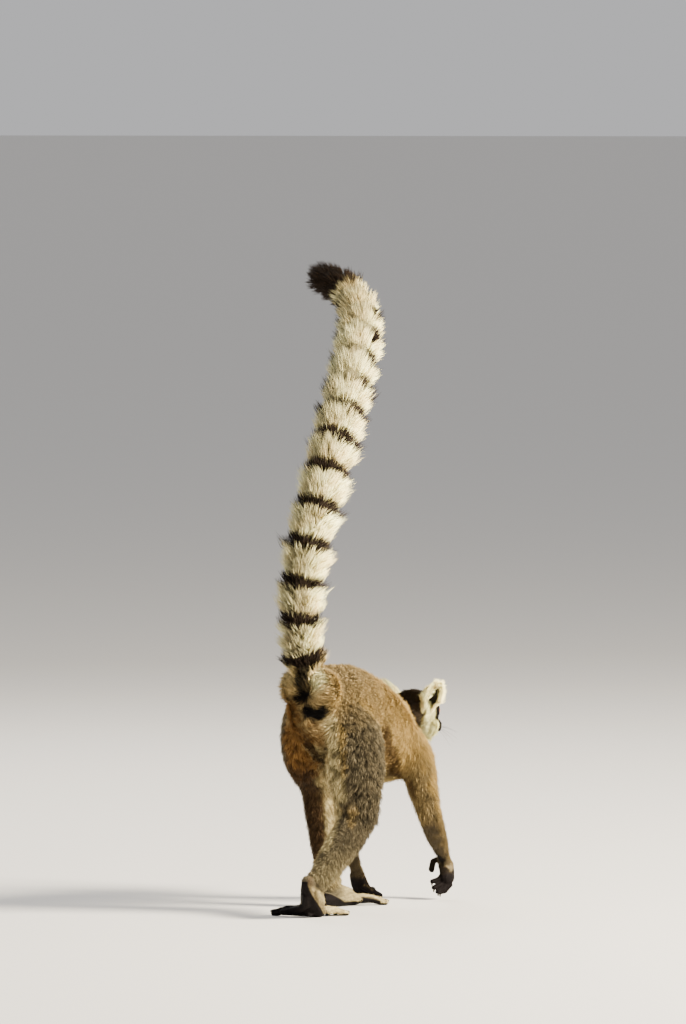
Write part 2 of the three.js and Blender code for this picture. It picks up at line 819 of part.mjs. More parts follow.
addNode("head", between(headWhole, ahead(HEAD_CUT)), FINISHES.paleCoat);
addNode("nose", joined(noseSolid()).subtract(joined([1, -1].map(nostril))), FINISHES.darkSkin);
for (const [side, hand] of [["left", 1], ["right", -1]]) {
  addNode(`eye_${side}`, ball(eyeCentre(hand), EYE_RADIUS, EYE_SIDES), FINISHES.eye);
  addNode(`ear_${side}`, earSolid(hand), FINISHES.paleCoat);
}

for (const [side, leg] of Object.entries(LEGS)) {
  const upper = thigh(leg);
  const lower = shank(leg);
  addNode(`thigh_${side}`, upper.solid().subtract(trunkGrown), FINISHES.greyCoat);
  addNode(`shank_${side}`, lower.solid().subtract(upper.solid(JOINT_GAP)), FINISHES.greyCoat);
  addNode(`foot_${side}`, aboveFloor(footSolid(leg).subtract(lower.solid(JOINT_GAP))), FINISHES.paleCoat);
}

for (const [side, arm] of Object.entries(ARMS)) {
  const upper = upperArm(arm);
  const lower = forearm(arm);
  addNode(`upper_arm_${side}`, upper.solid().subtract(trunkGrown), FINISHES.tanCoat);
  addNode(`forearm_${side}`, lower.solid().subtract(upper.solid(JOINT_GAP)), FINISHES.greyCoat);
  addNode(`hand_${side}`, aboveFloor(pawSolid(arm).subtract(lower.solid(JOINT_GAP))), FINISHES.darkSkin);
}

addNode("tail_root", tailBand(tailRoot).subtract(trunkGrown), FINISHES.tanCoat);

let reached = ROOT_LENGTH;
for (let i = 0; i < TAIL_RINGS; i++) {
  const number = String(i + 1).padStart(2, "0");
  for (const { shade, share, material, circles } of RING_BANDS) {
    const from = reached + JOINT_GAP / 2;
    reached += ringPitch(i) * share;
    const to = reached - JOINT_GAP / 2;
    addNode(`tail_${shade}_${number}`, tailBand({ from, to, circles }), material);
  }
}

const tipBrush = tailBand({
  from: reached + JOINT_GAP / 2,
  to: TAIL_LENGTH - TIP_ROUNDING,
  circles: TIP_CIRCLES,
  locksRound: LOCKS_ROUND - 1,
});
addNode("tail_tip", tipBrush, FINISHES.darkCoat);

lemur.position.copy(at(-BASE_CENTRE.forward, -BASE_CENTRE.left, 0));

export default lemur;
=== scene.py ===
"""The finish of a life-size ring-tailed lemur: one skin under the whole coat, tufts of hair in the lie of the
coat, banded tail, ears, eyes, lids, nose, whiskers and nails, and a plain studio round it. Metres, +Z up.
The animal walks towards -Y, and +X is its left."""

import math
from typing import NamedTuple

import bmesh
import bpy
import numpy as np
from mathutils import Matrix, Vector
from mathutils.bvhtree import BVHTree
from mathutils.kdtree import KDTree


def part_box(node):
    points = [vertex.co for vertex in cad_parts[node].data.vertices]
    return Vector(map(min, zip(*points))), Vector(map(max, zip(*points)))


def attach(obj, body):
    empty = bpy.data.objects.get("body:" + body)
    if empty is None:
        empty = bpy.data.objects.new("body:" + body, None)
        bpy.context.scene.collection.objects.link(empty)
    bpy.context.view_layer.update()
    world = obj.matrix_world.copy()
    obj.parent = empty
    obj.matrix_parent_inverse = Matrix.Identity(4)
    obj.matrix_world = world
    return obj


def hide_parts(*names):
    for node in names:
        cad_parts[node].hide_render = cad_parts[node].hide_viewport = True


bl_info = {
    "name": "Ring-tailed Lemur",
    "version": (1, 0, 0),
    "blender": (4, 5, 0),
    "location": "View3D > Sidebar > Lemur",
    "description": "Makes the skin, coat, ears, eyes, nose and nails of a walking ring-tailed lemur",
    "category": "Object",
}

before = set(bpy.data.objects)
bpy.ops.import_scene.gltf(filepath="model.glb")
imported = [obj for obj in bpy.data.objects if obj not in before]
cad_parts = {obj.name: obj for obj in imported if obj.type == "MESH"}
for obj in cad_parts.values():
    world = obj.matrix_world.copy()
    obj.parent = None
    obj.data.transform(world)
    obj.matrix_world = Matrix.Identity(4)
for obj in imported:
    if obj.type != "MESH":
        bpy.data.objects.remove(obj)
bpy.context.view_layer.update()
MM = 0.001
UP = np.array([0.0, 0.0, 1.0])
SIDES = {"left": 1, "right": -1}
HIP_FORWARD = 103  # the origin lies this far in front of the hips, in millimetres
CHUNK = 4000  # places that are measured at once
FLOOR_GAP = 0.3 * MM  # between the floor and what stands on it
MADE = {}  # what one operator leaves for the next

# ---- Regions of the body: how deep the coat is there, and how its tufts grow ----


class Region(NamedTuple):
    """Lengths are in millimetres, densities in tufts per square centimetre, and angles in degrees."""

    depth: float  # from the outline of the solids down to the skin
    length: float  # of a tuft
    width: float
    bent: float  # density of the thicker tufts, which bend
    fine: float  # density of the fine straight tufts among them
    lift: float  # of a tuft from the skin at its root
    tip: float  # of a tuft from the skin at its tip
    clump: float  # the size of a clump, whose tips lean together
    crease: float  # painted shade that darkens the coat between clumps, 0 to 1
    curl: float  # how unruly the coat lies
    shade: float  # how dark a tuft's root is against its middle: painted shade deep in the coat, and partly the hair's own darker base
    ticking: float  # share of darker tufts
    soft: float  # how strongly the skin is smoothed, 0 to 0.5


REGIONS = {
    "rump": Region(3, 14, 0.86, 10, 110, 30, 8, 9, 0.08, 0.4, 0.84, 0.3, 0.5),
    "abdomen": Region(2, 13, 0.84, 8, 112, 22, 6, 9, 0.05, 0.3, 0.88, 0.35, 0.5),
    "chest": Region(1.5, 13, 0.84, 8, 112, 22, 6, 9, 0.05, 0.3, 0.88, 0.35, 0.5),
    "neck": Region(3, 12, 0.84, 8, 112, 28, 8, 9, 0.04, 0.3, 0.86, 0.2, 0.45),
    "head": Region(3.2, 6.5, 0.66, 0, 220, 28, 12, 5, 0.06, 0.35, 0.86, 0, 0.05),
    "thigh": Region(5, 12, 0.95, 24, 80, 54, 16, 6.5, 0.6, 1.2, 0.55, 0.25, 0.5),
    "shank": Region(4, 8.5, 0.8, 18, 115, 40, 12, 4.5, 0.3, 0.75, 0.7, 0.35, 0.3),
    "foot": Region(0.4, 4.2, 0.68, 0, 150, 20, 8, 4, 0.1, 0.4, 0.85, 0.15, 0.02),
    "upper_arm": Region(2, 12, 0.86, 8, 112, 28, 8, 9, 0.08, 0.4, 0.82, 0.25, 0.45),
    "forearm": Region(3, 8.5, 0.74, 0, 190, 28, 10, 5, 0.16, 0.7, 0.76, 0.35, 0.2),
    "hand": Region(-0.3, 2.4, 0.5, 0, 150, 16, 8, 4, 0.05, 0.3, 0.8, 0.05, 0.01),
    "tail": Region(0, 22, 1.1, 32, 70, 66, 40, 8, 0.1, 0.4, 0.8, 0, 0.2),
}
FAMILIES = list(REGIONS)
FINE_FAMILIES = ("head", "foot", "hand")  # parts with small forms, whose skin has smaller faces
NEAR_FINE = (*FINE_FAMILIES, "neck", "shank", "forearm")


def share_of(fields, name):
    """How far each place belongs to a region, 0 to 1."""
    return fields["shares"][:, FAMILIES.index(name)]


def colour(name):
    """A linear colour out of the settings."""
    return np.array(getattr(bpy.context.scene.lemur_coat, name))


# ---- Small helpers on arrays ----


def unit(vectors):
    """Vectors of length 1 along others."""
    vectors = np.asarray(vectors, float)
    return vectors / np.maximum(np.linalg.norm(vectors, axis=-1, keepdims=True), 1e-12)


def lengths(vectors):
    return np.linalg.norm(vectors, axis=-1)


def clamp(values):
    return np.clip(values, 0, 1)


def smoothstep(values, low, high):
    """A soft rise from 0 at `low` to 1 at `high`."""
    t = clamp((values - low) / (high - low))
    return t * t * (3 - 2 * t)


def blend(start, end, share):
    """From start to end, arrays or names of colours, by a share that may be an array over points."""
    start, end = (colour(value) if isinstance(value, str) else value for value in (start, end))
    share = np.asarray(share)[..., None] if np.ndim(share) else share
    return start + (end - start) * share


def waves(points, size, seed):
    """Smooth noise of about -1 to 1, from seeded sine waves about `size` metres long."""
    rng = np.random.default_rng(seed)
    total = np.zeros(len(points))
    for _ in range(9):
        way = unit(rng.normal(size=3))
        pace = 2 * math.pi / size * rng.uniform(0.65, 1.5)
        total += np.sin(points @ way * pace + rng.uniform(0, 2 * math.pi))
    return total / 3


def flatten_onto(vectors, normals):
    """The parts of vectors that lie along a surface, as unit vectors."""
    return unit(vectors - normals * np.sum(vectors * normals, axis=-1, keepdims=True))


def placed(forward, left, up):
    """A place given from the hips in millimetres, in metres from the origin."""
    return np.array([left, HIP_FORWARD - forward, up]) * MM


def mirrored(place, hand):
    """A place given for the left side, moved to the side of `hand`, 1 or -1."""
    return place[0], place[1] * hand, place[2]


def angles_round(count):
    """Even angles round a circle."""
    return np.arange(count) * 2 * math.pi / count


def triangles_of(mesh):
    """The corner numbers of a mesh's triangles."""
    mesh.calc_loop_triangles()
    tris = np.empty(len(mesh.loop_triangles) * 3, np.int32)
    mesh.loop_triangles.foreach_get("vertices", tris)
    return tris.reshape(-1, 3)


def points_of(mesh):
    """The vertices of a mesh."""
    co = np.empty(len(mesh.vertices) * 3, np.float32)
    mesh.vertices.foreach_get("co", co)
    return co.reshape(-1, 3).astype(float)


def middle(node):
    """The centre of a node's surface."""
    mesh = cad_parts[node].data
    corners = points_of(mesh)[triangles_of(mesh)]
    areas = lengths(np.cross(corners[:, 1] - corners[:, 0], corners[:, 2] - corners[:, 0]))
    return (corners.mean(axis=1) * areas[:, None]).sum(axis=0) / areas.sum()


def box_middle(node):
    """The middle of a node's box."""
    low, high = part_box(node)
    return (np.array(low) + np.array(high)) / 2


def make_mesh(name, points, triangles):
    """A smooth mesh object of triangles from arrays."""
    mesh = bpy.data.meshes.new(name)
    mesh.vertices.add(len(points))
    mesh.vertices.foreach_set("co", np.asarray(points, np.float32).ravel())
    mesh.loops.add(len(triangles) * 3)
    mesh.loops.foreach_set("vertex_index", np.asarray(triangles, np.int32).ravel())
    mesh.polygons.add(len(triangles))
    mesh.polygons.foreach_set("loop_start", np.arange(0, len(triangles) * 3, 3, dtype=np.int32))
    mesh.update(calc_edges=True)
    mesh.shade_smooth()
    piece = bpy.data.objects.new(name, mesh)
    bpy.context.scene.collection.objects.link(piece)
    return piece


def paint(piece, colours):
    """Stores one linear colour per vertex in the attribute that the materials read."""
    layer = piece.data.attributes.new("Coat Colour", "FLOAT_COLOR", "POINT")
    rgba = np.ones((len(colours), 4), np.float32)
    rgba[:, :3] = colours
    layer.data.foreach_set("color", rgba.ravel())


def add_piece(name, points, triangles, shades, material, slot, *replaced):
    """A finished piece; `shades` is one colour, or one for each point."""
    piece = make_mesh(name, points, triangles)
    paint(piece, np.broadcast_to(shades, np.shape(points)))
    piece.data.materials.append(material)
    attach(piece, "root")
    if replaced:
        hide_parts(*replaced)
    return piece


def grid_surface(rows):
    """Points and triangles of a closed tube through rings of equal length, with a fan over each end."""
    rows = np.asarray(rows)
    count, sides = rows.shape[:2]
    points = np.concatenate([rows.reshape(-1, 3), rows[:1].mean(axis=1), rows[-1:].mean(axis=1)])
    first, last = count * sides, count * sides + 1
    k = np.arange(sides)
    following = (k + 1) % sides
    top = (count - 1) * sides
    triangles = [
        np.stack([np.full(sides, first), following, k], axis=1),
        np.stack([np.full(sides, last), top + k, top + following], axis=1),
    ]
    for start in range(0, top, sides):
        a, b = start + k, start + following
        triangles += [np.stack([a, b, b + sides], axis=1), np.stack([a, b + sides, a + sides], axis=1)]
    return points, np.concatenate(triangles)


def joined(solids):
    """One list of points and triangles out of several."""
    points, triangles, count = [], [], 0
    for some_points, some_triangles in solids:
        points.append(some_points)
        triangles.append(np.asarray(some_triangles) + count)
        count += len(some_points)
    return np.concatenate(points), np.concatenate(triangles)


def ball(centre, radii, pole=UP, across=None, sides=20):
    """Points and triangles of a closed ball whose rings lie round `pole`."""
    across = flatten_onto(np.array([1.0, 0.3, 0.2]) if across is None else across, pole)
    third = np.cross(pole, across)
    radii = np.broadcast_to(radii, 3)
    angles = angles_round(sides)
    rows = []
    for polar in np.linspace(0.1, math.pi - 0.1, sides // 2 + 1):
        ring = np.outer(np.cos(angles) * radii[0], across) + np.outer(np.sin(angles) * radii[1], third)
        rows.append(np.asarray(centre) + ring * math.sin(polar) - pole * math.cos(polar) * radii[2])
    return grid_surface(rows)


def tube(line, radii, sides):
    """Points and triangles of a closed tapering tube along a line."""
    line = np.asarray(line)
    ways = unit(np.gradient(line, axis=0))
    side = flatten_onto(np.array([0.31, 0.53, 0.79]), ways)
    other = np.cross(ways, side)
    angles = angles_round(sides)
    rings = side[:, None] * np.cos(angles)[:, None] + other[:, None] * np.sin(angles)[:, None]
    return grid_surface(line[:, None] + rings * np.asarray(radii)[:, None, None])


def through(points, step):
    """A smooth line through points, with places every `step`."""
    points = np.asarray(points, float)
    p = np.concatenate([[2 * points[0] - points[1]], points, [2 * points[-1] - points[-2]]])
    line = []
    for i in range(1, len(p) - 2):
        count = max(2, int(np.linalg.norm(p[i + 1] - p[i]) / step * 2))
        t = np.linspace(0, 1, count, endpoint=False)[:, None]
        bends = (p[i + 1] - p[i - 1]) * t
        bends = bends + (2 * p[i - 1] - 5 * p[i] + 4 * p[i + 1] - p[i + 2]) * t**2
        bends = bends + (3 * p[i] - p[i - 1] - 3 * p[i + 1] + p[i + 2]) * t**3
        line.append(p[i] + bends / 2)
    line = np.concatenate([*line, points[-1:]])
    along = np.concatenate([[0], np.cumsum(lengths(np.diff(line, axis=0)))])
    even = np.arange(0, along[-1], step)
    return np.stack([np.interp(even, along, line[:, k]) for k in range(3)], axis=1)


def nearest_on(line, places):
    """The number of the nearest point of a line for each place, and its distance."""
    numbers = np.empty(len(places), int)
    gaps = np.empty(len(places))
    for start in range(0, len(places), CHUNK):
        part = slice(start, start + CHUNK)
        away = lengths(places[part, None] - line[None])
        numbers[part] = away.argmin(axis=1)
        gaps[part] = away.min(axis=1)
    return numbers, gaps


def line_gap(places, line):
    """Distance of each place from the nearest point of a line."""
    return nearest_on(line, places)[1]


# ---- Head: its own axes, worked out from the eyes and the nose ----

EYE_PLACE = (17.5, 16.5, 8.0)  # forward, to the side and up from the middle of the skull, in millimetres
NOSE_PLACE = (54.0, 0.0, -7.5)
EYE_PATCH = 12.5, 12  # radii of the dark patch round each eye, across and up, in millimetres


class Head:
    """Turns places given as forward, left and up in millimetres from the middle of the skull into metres."""

    def __init__(self):
        left_eye, right_eye = box_middle("eye_left"), box_middle("eye_right")
        self.left = unit(left_eye - right_eye)
        reach = box_middle("nose") - (left_eye + right_eye) / 2
        reach -= self.left * (reach @ self.left)
        a = NOSE_PLACE[0] - EYE_PLACE[0]
        b = EYE_PLACE[2] - NOSE_PLACE[2]
        turned = np.cross(reach, self.left)
        self.forward = unit(a * reach + b * turned)
        self.up = unit(np.cross(self.forward, self.left))
        eyes = (left_eye + right_eye) / 2
        self.centre = eyes - (self.forward * EYE_PLACE[0] + self.up * EYE_PLACE[2]) * MM

    def place(self, forward, left, up):
        return self.centre + self.way(forward, left, up) * MM

    def way(self, forward, left, up):
        return self.forward * forward + self.left * left + self.up * up

    def local(self, points):
        """Forward, left and up in millimetres of points."""
        away = (points - self.centre) / MM
        return away @ self.forward, away @ self.left, away @ self.up


HEAD = Head()

# ---- Tail: its line and the radius of its coat, measured on the bands of the frame ----

TAIL_BANDS = ["tail_root"]
TAIL_BANDS += [f"tail_{shade}_{i:02d}" for i in range(1, 14) for shade in ("dark", "pale")]
TAIL_BANDS += ["tail_tip"]
TAIL_START = (0.0, 0.089, 0.281)  # inside the rump, where the bones of the tail begin
TAIL_BELOW = (0.0, 0.132, 0.286)  # where the tail turns up out of the rump
TAIL_CORE_SHARE = 0.5  # radius of the skin of the tail against its coat
ROOT_ENDS, ROOT_SHARE = (0.06, 0.12), 0.16  # where the skin thins along the line, and by what share
TAIL_STEP = 1.0 * MM
TIP_OVERLAP = 9 * MM  # how far the tips of the tail's hair reach past their roots, along the tail
DARK_TIP = 66 * MM  # length of the dark end of the tail
TIP_REACH = 0.9  # how far the bones go on past the middle of the last band, in steps of its distance
LINE_ROUNDS, RADIUS_ROUNDS = 30, 400  # how often the line and the radius are smoothed
OUTER_PERCENT = 96  # of a band's points that lie within the radius of the coat
CORE_SIDES = 18
CORE_STEP, CORE_END, CORE_CAP = 5, 8, 14  # lengths along the line, in steps
RING_SHIFTS = [0, 4, 10, 15], [-7, 5, 5, 11]  # bands, and millimetres that their colours sit below them


class Tail:
    """The line of the tail's bones in steps of TAIL_STEP, and what the coat does along it."""

    def __init__(self):
        middles = [middle(band) for band in TAIL_BANDS[1:]]
        tip = middles[-1] + (middles[-1] - middles[-2]) * TIP_REACH
        self.line = through([TAIL_START, TAIL_BELOW, *middles, tip], TAIL_STEP)
        for _ in range(LINE_ROUNDS):
            self.line[1:-1] = (self.line[:-2] + 2 * self.line[1:-1] + self.line[2:]) / 4
        self.way = unit(np.gradient(self.line, axis=0))
        self.side = flatten_onto(np.array([1.0, 0.0, 0.0]), self.way)
        self.under = np.cross(self.way, self.side)
        starts, radii, places = [], [], []
        for band in TAIL_BANDS[1:]:
            along, away = self.nearest(points_of(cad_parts[band].data))
            starts.append(along.min())
            places.append(along.mean())
            radii.append(np.percentile(away, OUTER_PERCENT))
        self.starts = np.array(starts)
        self.radius = np.interp(np.arange(len(self.line)), np.array(places) / TAIL_STEP, radii)
        for _ in range(RADIUS_ROUNDS):
            self.radius[1:-1] = (self.radius[:-2] + self.radius[2:]) / 2
        self.length = len(self.line) * TAIL_STEP

    def nearest(self, points):
        """Distance along the line and away from it, for each point."""
        numbers, away = nearest_on(self.line, points)
        return numbers * TAIL_STEP, away

    def beside(self, points, along):
        """From the line at `along` to each point, and the parts of that beneath the tail and to its side."""
        spot = self.at(along)
        away = points - self.line[spot]
        return away, np.sum(away * self.under[spot], axis=1), np.sum(away * self.side[spot], axis=1)

    def at(self, along):
        return np.clip((np.asarray(along) / TAIL_STEP).astype(int), 0, len(self.line) - 1)

    def bands(self, along):
        """The band that each place is in, -1 for the root, and how far through the band it is, 0 to 1."""
        along = along + np.interp(along, self.starts[RING_SHIFTS[0]], RING_SHIFTS[1]) * MM
        bands = np.searchsorted(self.starts, along, side="right") - 1
        ends = np.append(self.starts[1:], self.length)
        share = (along - self.starts[bands]) / (ends[bands] - self.starts[bands])
        return bands, clamp(share)

    def core(self):
        """Points and triangles of the tail's skin."""
        angles = angles_round(CORE_SIDES)
        rows = []
        last = len(self.line) - CORE_END
        for i in range(0, last, CORE_STEP):
            fade = math.sqrt(max(0.02, min(1.0, (last - i) / CORE_CAP)))
            root = smoothstep(i * TAIL_STEP, ROOT_ENDS[1], ROOT_ENDS[0])
            radius = self.radius[i] * (TAIL_CORE_SHARE + ROOT_SHARE * root) * fade
            ring = self.side[i] * np.cos(angles)[:, None] + self.under[i] * np.sin(angles)[:, None]
            rows.append(self.line[i] + ring * radius)
        return grid_surface(rows)


TAIL = Tail()

# ---- Skin: one surface over the whole animal, with what the coat needs stored for every vertex ----

SKIN_NODES = ["rump", "abdomen", "chest", "neck", "head"]
LIMB_PARTS = ["thigh", "shank", "foot", "upper_arm", "forearm", "hand"]
SKIN_NODES += [f"{part}_{side}" for side in SIDES for part in LIMB_PARTS]
LABELLED = [*SKIN_NODES, "tail"]
CHARTED = [*LABELLED, "ear_left", "ear_right"]  # what a label on a root means
SKIN_GROWTH = 0.5 * MM  # closes the thin gaps between the nodes
SMOOTHING_ROUNDS = 40  # of the shape
REGION_ROUNDS, LIE_ROUNDS, DEPTH_ROUNDS, COLOUR_ROUNDS = 14, 90, 12, 24  # of smoothing each field
SMALL_FORMS = 0.3, 0.7  # least share of small forms on the fine skin, and most on the coarse one
EYE_SOCKET = 9.2 * MM  # radius of the ball that the skin has round each eye
MOUTH_WIDTH, MOUTH_DEPTH = 1.3, 1.6  # in millimetres
LEAST_VOLUME = 4e-6  # cubic metres; a smaller or a hollow shell is left out of the skin


def family(node):
    """A node's name without its side."""
    return node.removesuffix("_left").removesuffix("_right")


KIND_OF_LABEL = np.array([FAMILIES.index(family(node)) for node in LABELLED])


def lie_of_coat():
    """The way that hair lies on each node: down the limbs, and back along the trunk."""
    ways = {
        "head": -HEAD.forward - 0.25 * HEAD.up,
        "neck": middle("chest") - middle("head"),
        "chest": middle("abdomen") - middle("neck") - 0.035 * UP,
        "abdomen": middle("rump") - middle("chest") - 0.025 * UP,
        "rump": middle("rump") - middle("abdomen") - 0.02 * UP,
        "tail": UP,
    }
    for side in SIDES:
        for chain in (("thigh", "shank", "foot"), ("upper_arm", "forearm", "hand")):
            upper, lower, end = (middle(f"{part}_{side}") for part in chain)
            ways[f"{chain[0]}_{side}"] = lower - upper
            ways[f"{chain[1]}_{side}"] = end - upper
        ways[f"upper_arm_{side}"] = ways[f"upper_arm_{side}"] + np.array([0, 0.025, 0])
        ways[f"foot_{side}"] = np.array([0.0, -1.0, -0.1])
        ways[f"hand_{side}"] = middle(f"hand_{side}") - middle(f"forearm_{side}")
    return {node: unit(way) for node, way in ways.items()}


class Skin:
    """A surface as arrays, with fields over its vertices."""

    def __init__(self, points, triangles):
        self.points = np.asarray(points, float)
        self.triangles = np.asarray(triangles, np.int64)
        self.fields = {}
        count = len(self.points)
        sides = np.concatenate([self.triangles[:, pair] for pair in ((0, 1), (1, 2), (2, 0))])
        sides.sort(axis=1)
        codes = np.unique(sides[:, 0] * count + sides[:, 1])
        self.edges = codes // count, codes % count
        self.neighbours = np.bincount(np.concatenate(self.edges), minlength=count).clip(1)[:, None]

    def spread(self, values, rounds, share=0.5):
        """Smooths a field by mixing each vertex with its neighbours."""
        values = np.array(values, float)
        flat = values.reshape(len(values), -1)
        a, b = self.edges
        share = np.asarray(share)[:, None] if np.ndim(share) else share
        for _ in range(rounds):
            sums = [np.bincount(a, c[b], len(flat)) + np.bincount(b, c[a], len(flat)) for c in flat.T]
            flat = flat + (np.stack(sums, axis=1) / self.neighbours - flat) * share
        return flat.reshape(values.shape)

    def find_normals(self):
        corners = self.points[self.triangles]
        faces = np.cross(corners[:, 1] - corners[:, 0], corners[:, 2] - corners[:, 0])
        normals = np.zeros_like(self.points)
        for k in range(3):
            for axis in range(3):
                normals[:, axis] += np.bincount(self.triangles[:, k], faces[:, axis], len(normals))
        self.fields["normals"] = unit(normals)

    def part(self, kept):
        """The triangles whose corners are all kept, as a new surface with the same fields."""
        triangles = self.triangles[kept[self.triangles].all(axis=1)]
        used, numbers = np.unique(triangles, return_inverse=True)
        piece = Skin(self.points[used], numbers.reshape(-1, 3))
        piece.fields = {name: values[used] for name, values in self.fields.items()}
        return piece


def grown_copy(node):
    """A node's closed surface, grown a little, as points and triangles."""
    work = bmesh.new()
    work.from_mesh(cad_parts[node].data)
    bmesh.ops.remove_doubles(work, verts=work.verts, dist=1e-6)
    bmesh.ops.triangulate(work, faces=work.faces)
    work.normal_update()
    points = np.array([vert.co + vert.normal * SKIN_GROWTH for vert in work.verts])
    triangles = np.array([[vert.index for vert in face.verts] for face in work.faces])
    work.free()
    return points, triangles


def remeshed(points, triangles, voxel):
    """The outer surfaces of overlapping solids, as points and even triangles."""
    raw = make_mesh("raw_skin", points, triangles)
    fuse = raw.modifiers.new("Fuse", "REMESH")
    fuse.mode = "VOXEL"
    fuse.voxel_size = voxel
    graph = bpy.context.evaluated_depsgraph_get()
    mesh = bpy.data.meshes.new_from_object(raw.evaluated_get(graph))
    bpy.data.objects.remove(raw)
    skin = Skin(points_of(mesh), triangles_of(mesh))
    bpy.data.meshes.remove(mesh)
    islands = np.arange(len(skin.points))
    a, b = skin.edges
    while True:
        lowest = islands.copy()
        np.minimum.at(lowest, a, islands[b])
        np.minimum.at(lowest, b, islands[a])
        lowest = lowest[lowest]
        if (lowest == islands).all():
            break
        islands = lowest
    corners = skin.points[skin.triangles]
    volumes = np.sum(corners[:, 0] * np.cross(corners[:, 1], corners[:, 2]), axis=1) / 6
    volumes = np.bincount(islands[skin.triangles[:, 0]], volumes, len(skin.points))
    return skin.part(volumes[islands] > LEAST_VOLUME)


def nearest_labels(points):
    """The part of CHARTED that lies nearest to each point."""
    if "tree" not in MADE:
        solids = [grown_copy(node) for node in SKIN_NODES] + [TAIL.core()]
        all_points, all_triangles = joined(solids)
        MADE["owners"] = np.repeat(np.arange(len(solids)), [len(triangles) for _, triangles in solids])
        MADE["tree"] = BVHTree.FromPolygons(all_points.tolist(), all_triangles.tolist())
    tree, owners = MADE["tree"], MADE["owners"]
    return owners[[tree.find_nearest(point)[2] for point in points.tolist()]]


def place_fields(skin):
    """Gives every vertex the looks of its region, which run into one another."""
    labels = nearest_labels(skin.points)
    kinds = KIND_OF_LABEL[labels]
    shares = skin.spread(np.eye(len(FAMILIES))[kinds], REGION_ROUNDS)
    table = np.array([REGIONS[name] for name in FAMILIES])
    skin.fields.update(zip(Region._fields, (shares @ table).T))
    lies = lie_of_coat()
    ways = np.array([lies[node] for node in LABELLED])[labels]
    along, _ = TAIL.nearest(skin.points)
    on_tail = kinds == FAMILIES.index("tail")
    ways[on_tail] = TAIL.way[TAIL.at(along[on_tail])]
    skin.fields.update(lie=skin.spread(ways, LIE_ROUNDS), labels=labels, shares=shares, along=along)


HEAD_SHAPE = {  # share that each field loses on the muzzle, and what it gains on the cheeks
    "depth": (0.62, -2.0),
    "length": (0.62, 8),
    "width": (0.25, 0),
    "lift": (0.45, 22),
    "tip": (0, 16),
    "fine": (-0.6, 0),
}


def shape_head(skin):
    """Thins the coat towards the muzzle and thickens it on the cheeks."""
    forward, _, up = HEAD.local(skin.points)
    fields = skin.fields
    on_head = share_of(fields, "head")
    muzzle = smoothstep(forward, 6, 34) * on_head
    cheek = smoothstep(-up, 0, 12) * smoothstep(18 - forward, 0, 14) * on_head
    for name, (less, more) in HEAD_SHAPE.items():
        fields[name] = fields[name] * (1 - less * muzzle) + more * cheek


def shape_rump(skin):
    """Full locks of long hair on each side under the tail."""
    places = places_of(skin.points)
    for centre, radius, height in LOCKS:
        full = np.exp(-2 * (lengths(places - centre) / radius) ** 2)
        skin.fields["depth"] -= height * full
        skin.fields["length"] *= 1 + LOCK_LENGTH * full
        skin.fields["lift"] += LOCK_LIFT * full


TAIL_HAIR = 1.42  # length of the hair against its reach over the skin
DARK_FLARE = 0.98, -0.14  # of the length in a dark band, and how that changes towards the tip
PALE_FLARE = 1.02, 0.24  # of the length at the start of a pale band, and how that changes through it
LOWER_FLARE = 0.22  # how much longer the hair of the lower bands is
TIP_FLARE = 1.25
RING_LIFTS = -6, 4  # degrees more than elsewhere, in dark bands and at the end of pale ones


def shape_tail(skin):
    """Long hair that fills the radius of the tail's coat, flares over the end of each pale band, and is
    sleeker on the dark bands."""
    fields = skin.fields
    on_tail = share_of(fields, "tail")
    along = fields["along"]
    reach = TAIL.radius[TAIL.at(along)] * (1 - TAIL_CORE_SHARE) / MM
    bands, share = TAIL.bands(along + TIP_OVERLAP)
    dark = (bands >= 0) & (bands % 2 == 0)
    dark_flare = DARK_FLARE[0] + DARK_FLARE[1] * smoothstep(bands, 10, 16)
    flare = np.where(dark, dark_flare, PALE_FLARE[0] + PALE_FLARE[1] * share)
    flare *= 1 + LOWER_FLARE * smoothstep(11 - bands, 0, 8)
    flare = np.where(along > TAIL.length - DARK_TIP, TIP_FLARE, flare)
    length = reach * TAIL_HAIR * flare
    fields["length"] = blend(fields["length"][:, None], length[:, None], on_tail)[:, 0]
    lift = np.where(dark, RING_LIFTS[0], RING_LIFTS[1] * share) * on_tail
    fields["lift"] = fields["lift"] + lift
    fields["tip"] = fields["tip"] + lift


MOUTH_LINE = [(52, 3.0, -17.2), (47, 7.0, -17.6), (40, 9.8, -16.2), (33, 12.4, -14.4), (27, 14.2, -13.0)]


def mouth_gap(skin):
    """Distance in millimetres of each vertex from the line of the mouth."""
    forward, left, up = HEAD.local(skin.points)
    places = np.stack([forward, np.abs(left), up], axis=1)
    gaps = np.full(len(places), 99.0)
    near = np.flatnonzero((forward > 15) & (forward < 62) & (np.abs(left) < 26) & (np.abs(up) < 34))
    gaps[near] = line_gap(places[near], through(MOUTH_LINE, 0.5))
    return gaps


WEB = [  # lines across the web between the sole and the first toe of the raised foot, and their radii
    ([(-46, 36, 5), (-47, 22, 7.5), (-54, 6, 11), (-64, -6, 18), (-78, -12, 32)], (3.5, 4.5, 5.5, 6, 5)),
    ([(-44, 36, 3.5), (-45, 16, 4), (-48, 0, 5), (-54, -8, 8)], (3, 3.5, 4.5, 6)),
]
SHOULDER = (160, 36, 194), (13, 28, 32)  # middle, and radii along X, Y and Z, of the muscle over the armpit


def filling():
    """Solids that round off where the frame's nodes meet at a hollow."""
    solids = [tube(placed(*np.array(line, float).T).T, np.array(radii) * MM, 12) for line, radii in WEB]
    centre, radii = SHOULDER
    solids += [ball(placed(*mirrored(centre, hand)), np.array(radii) * MM) for hand in SIDES.values()]
    return solids


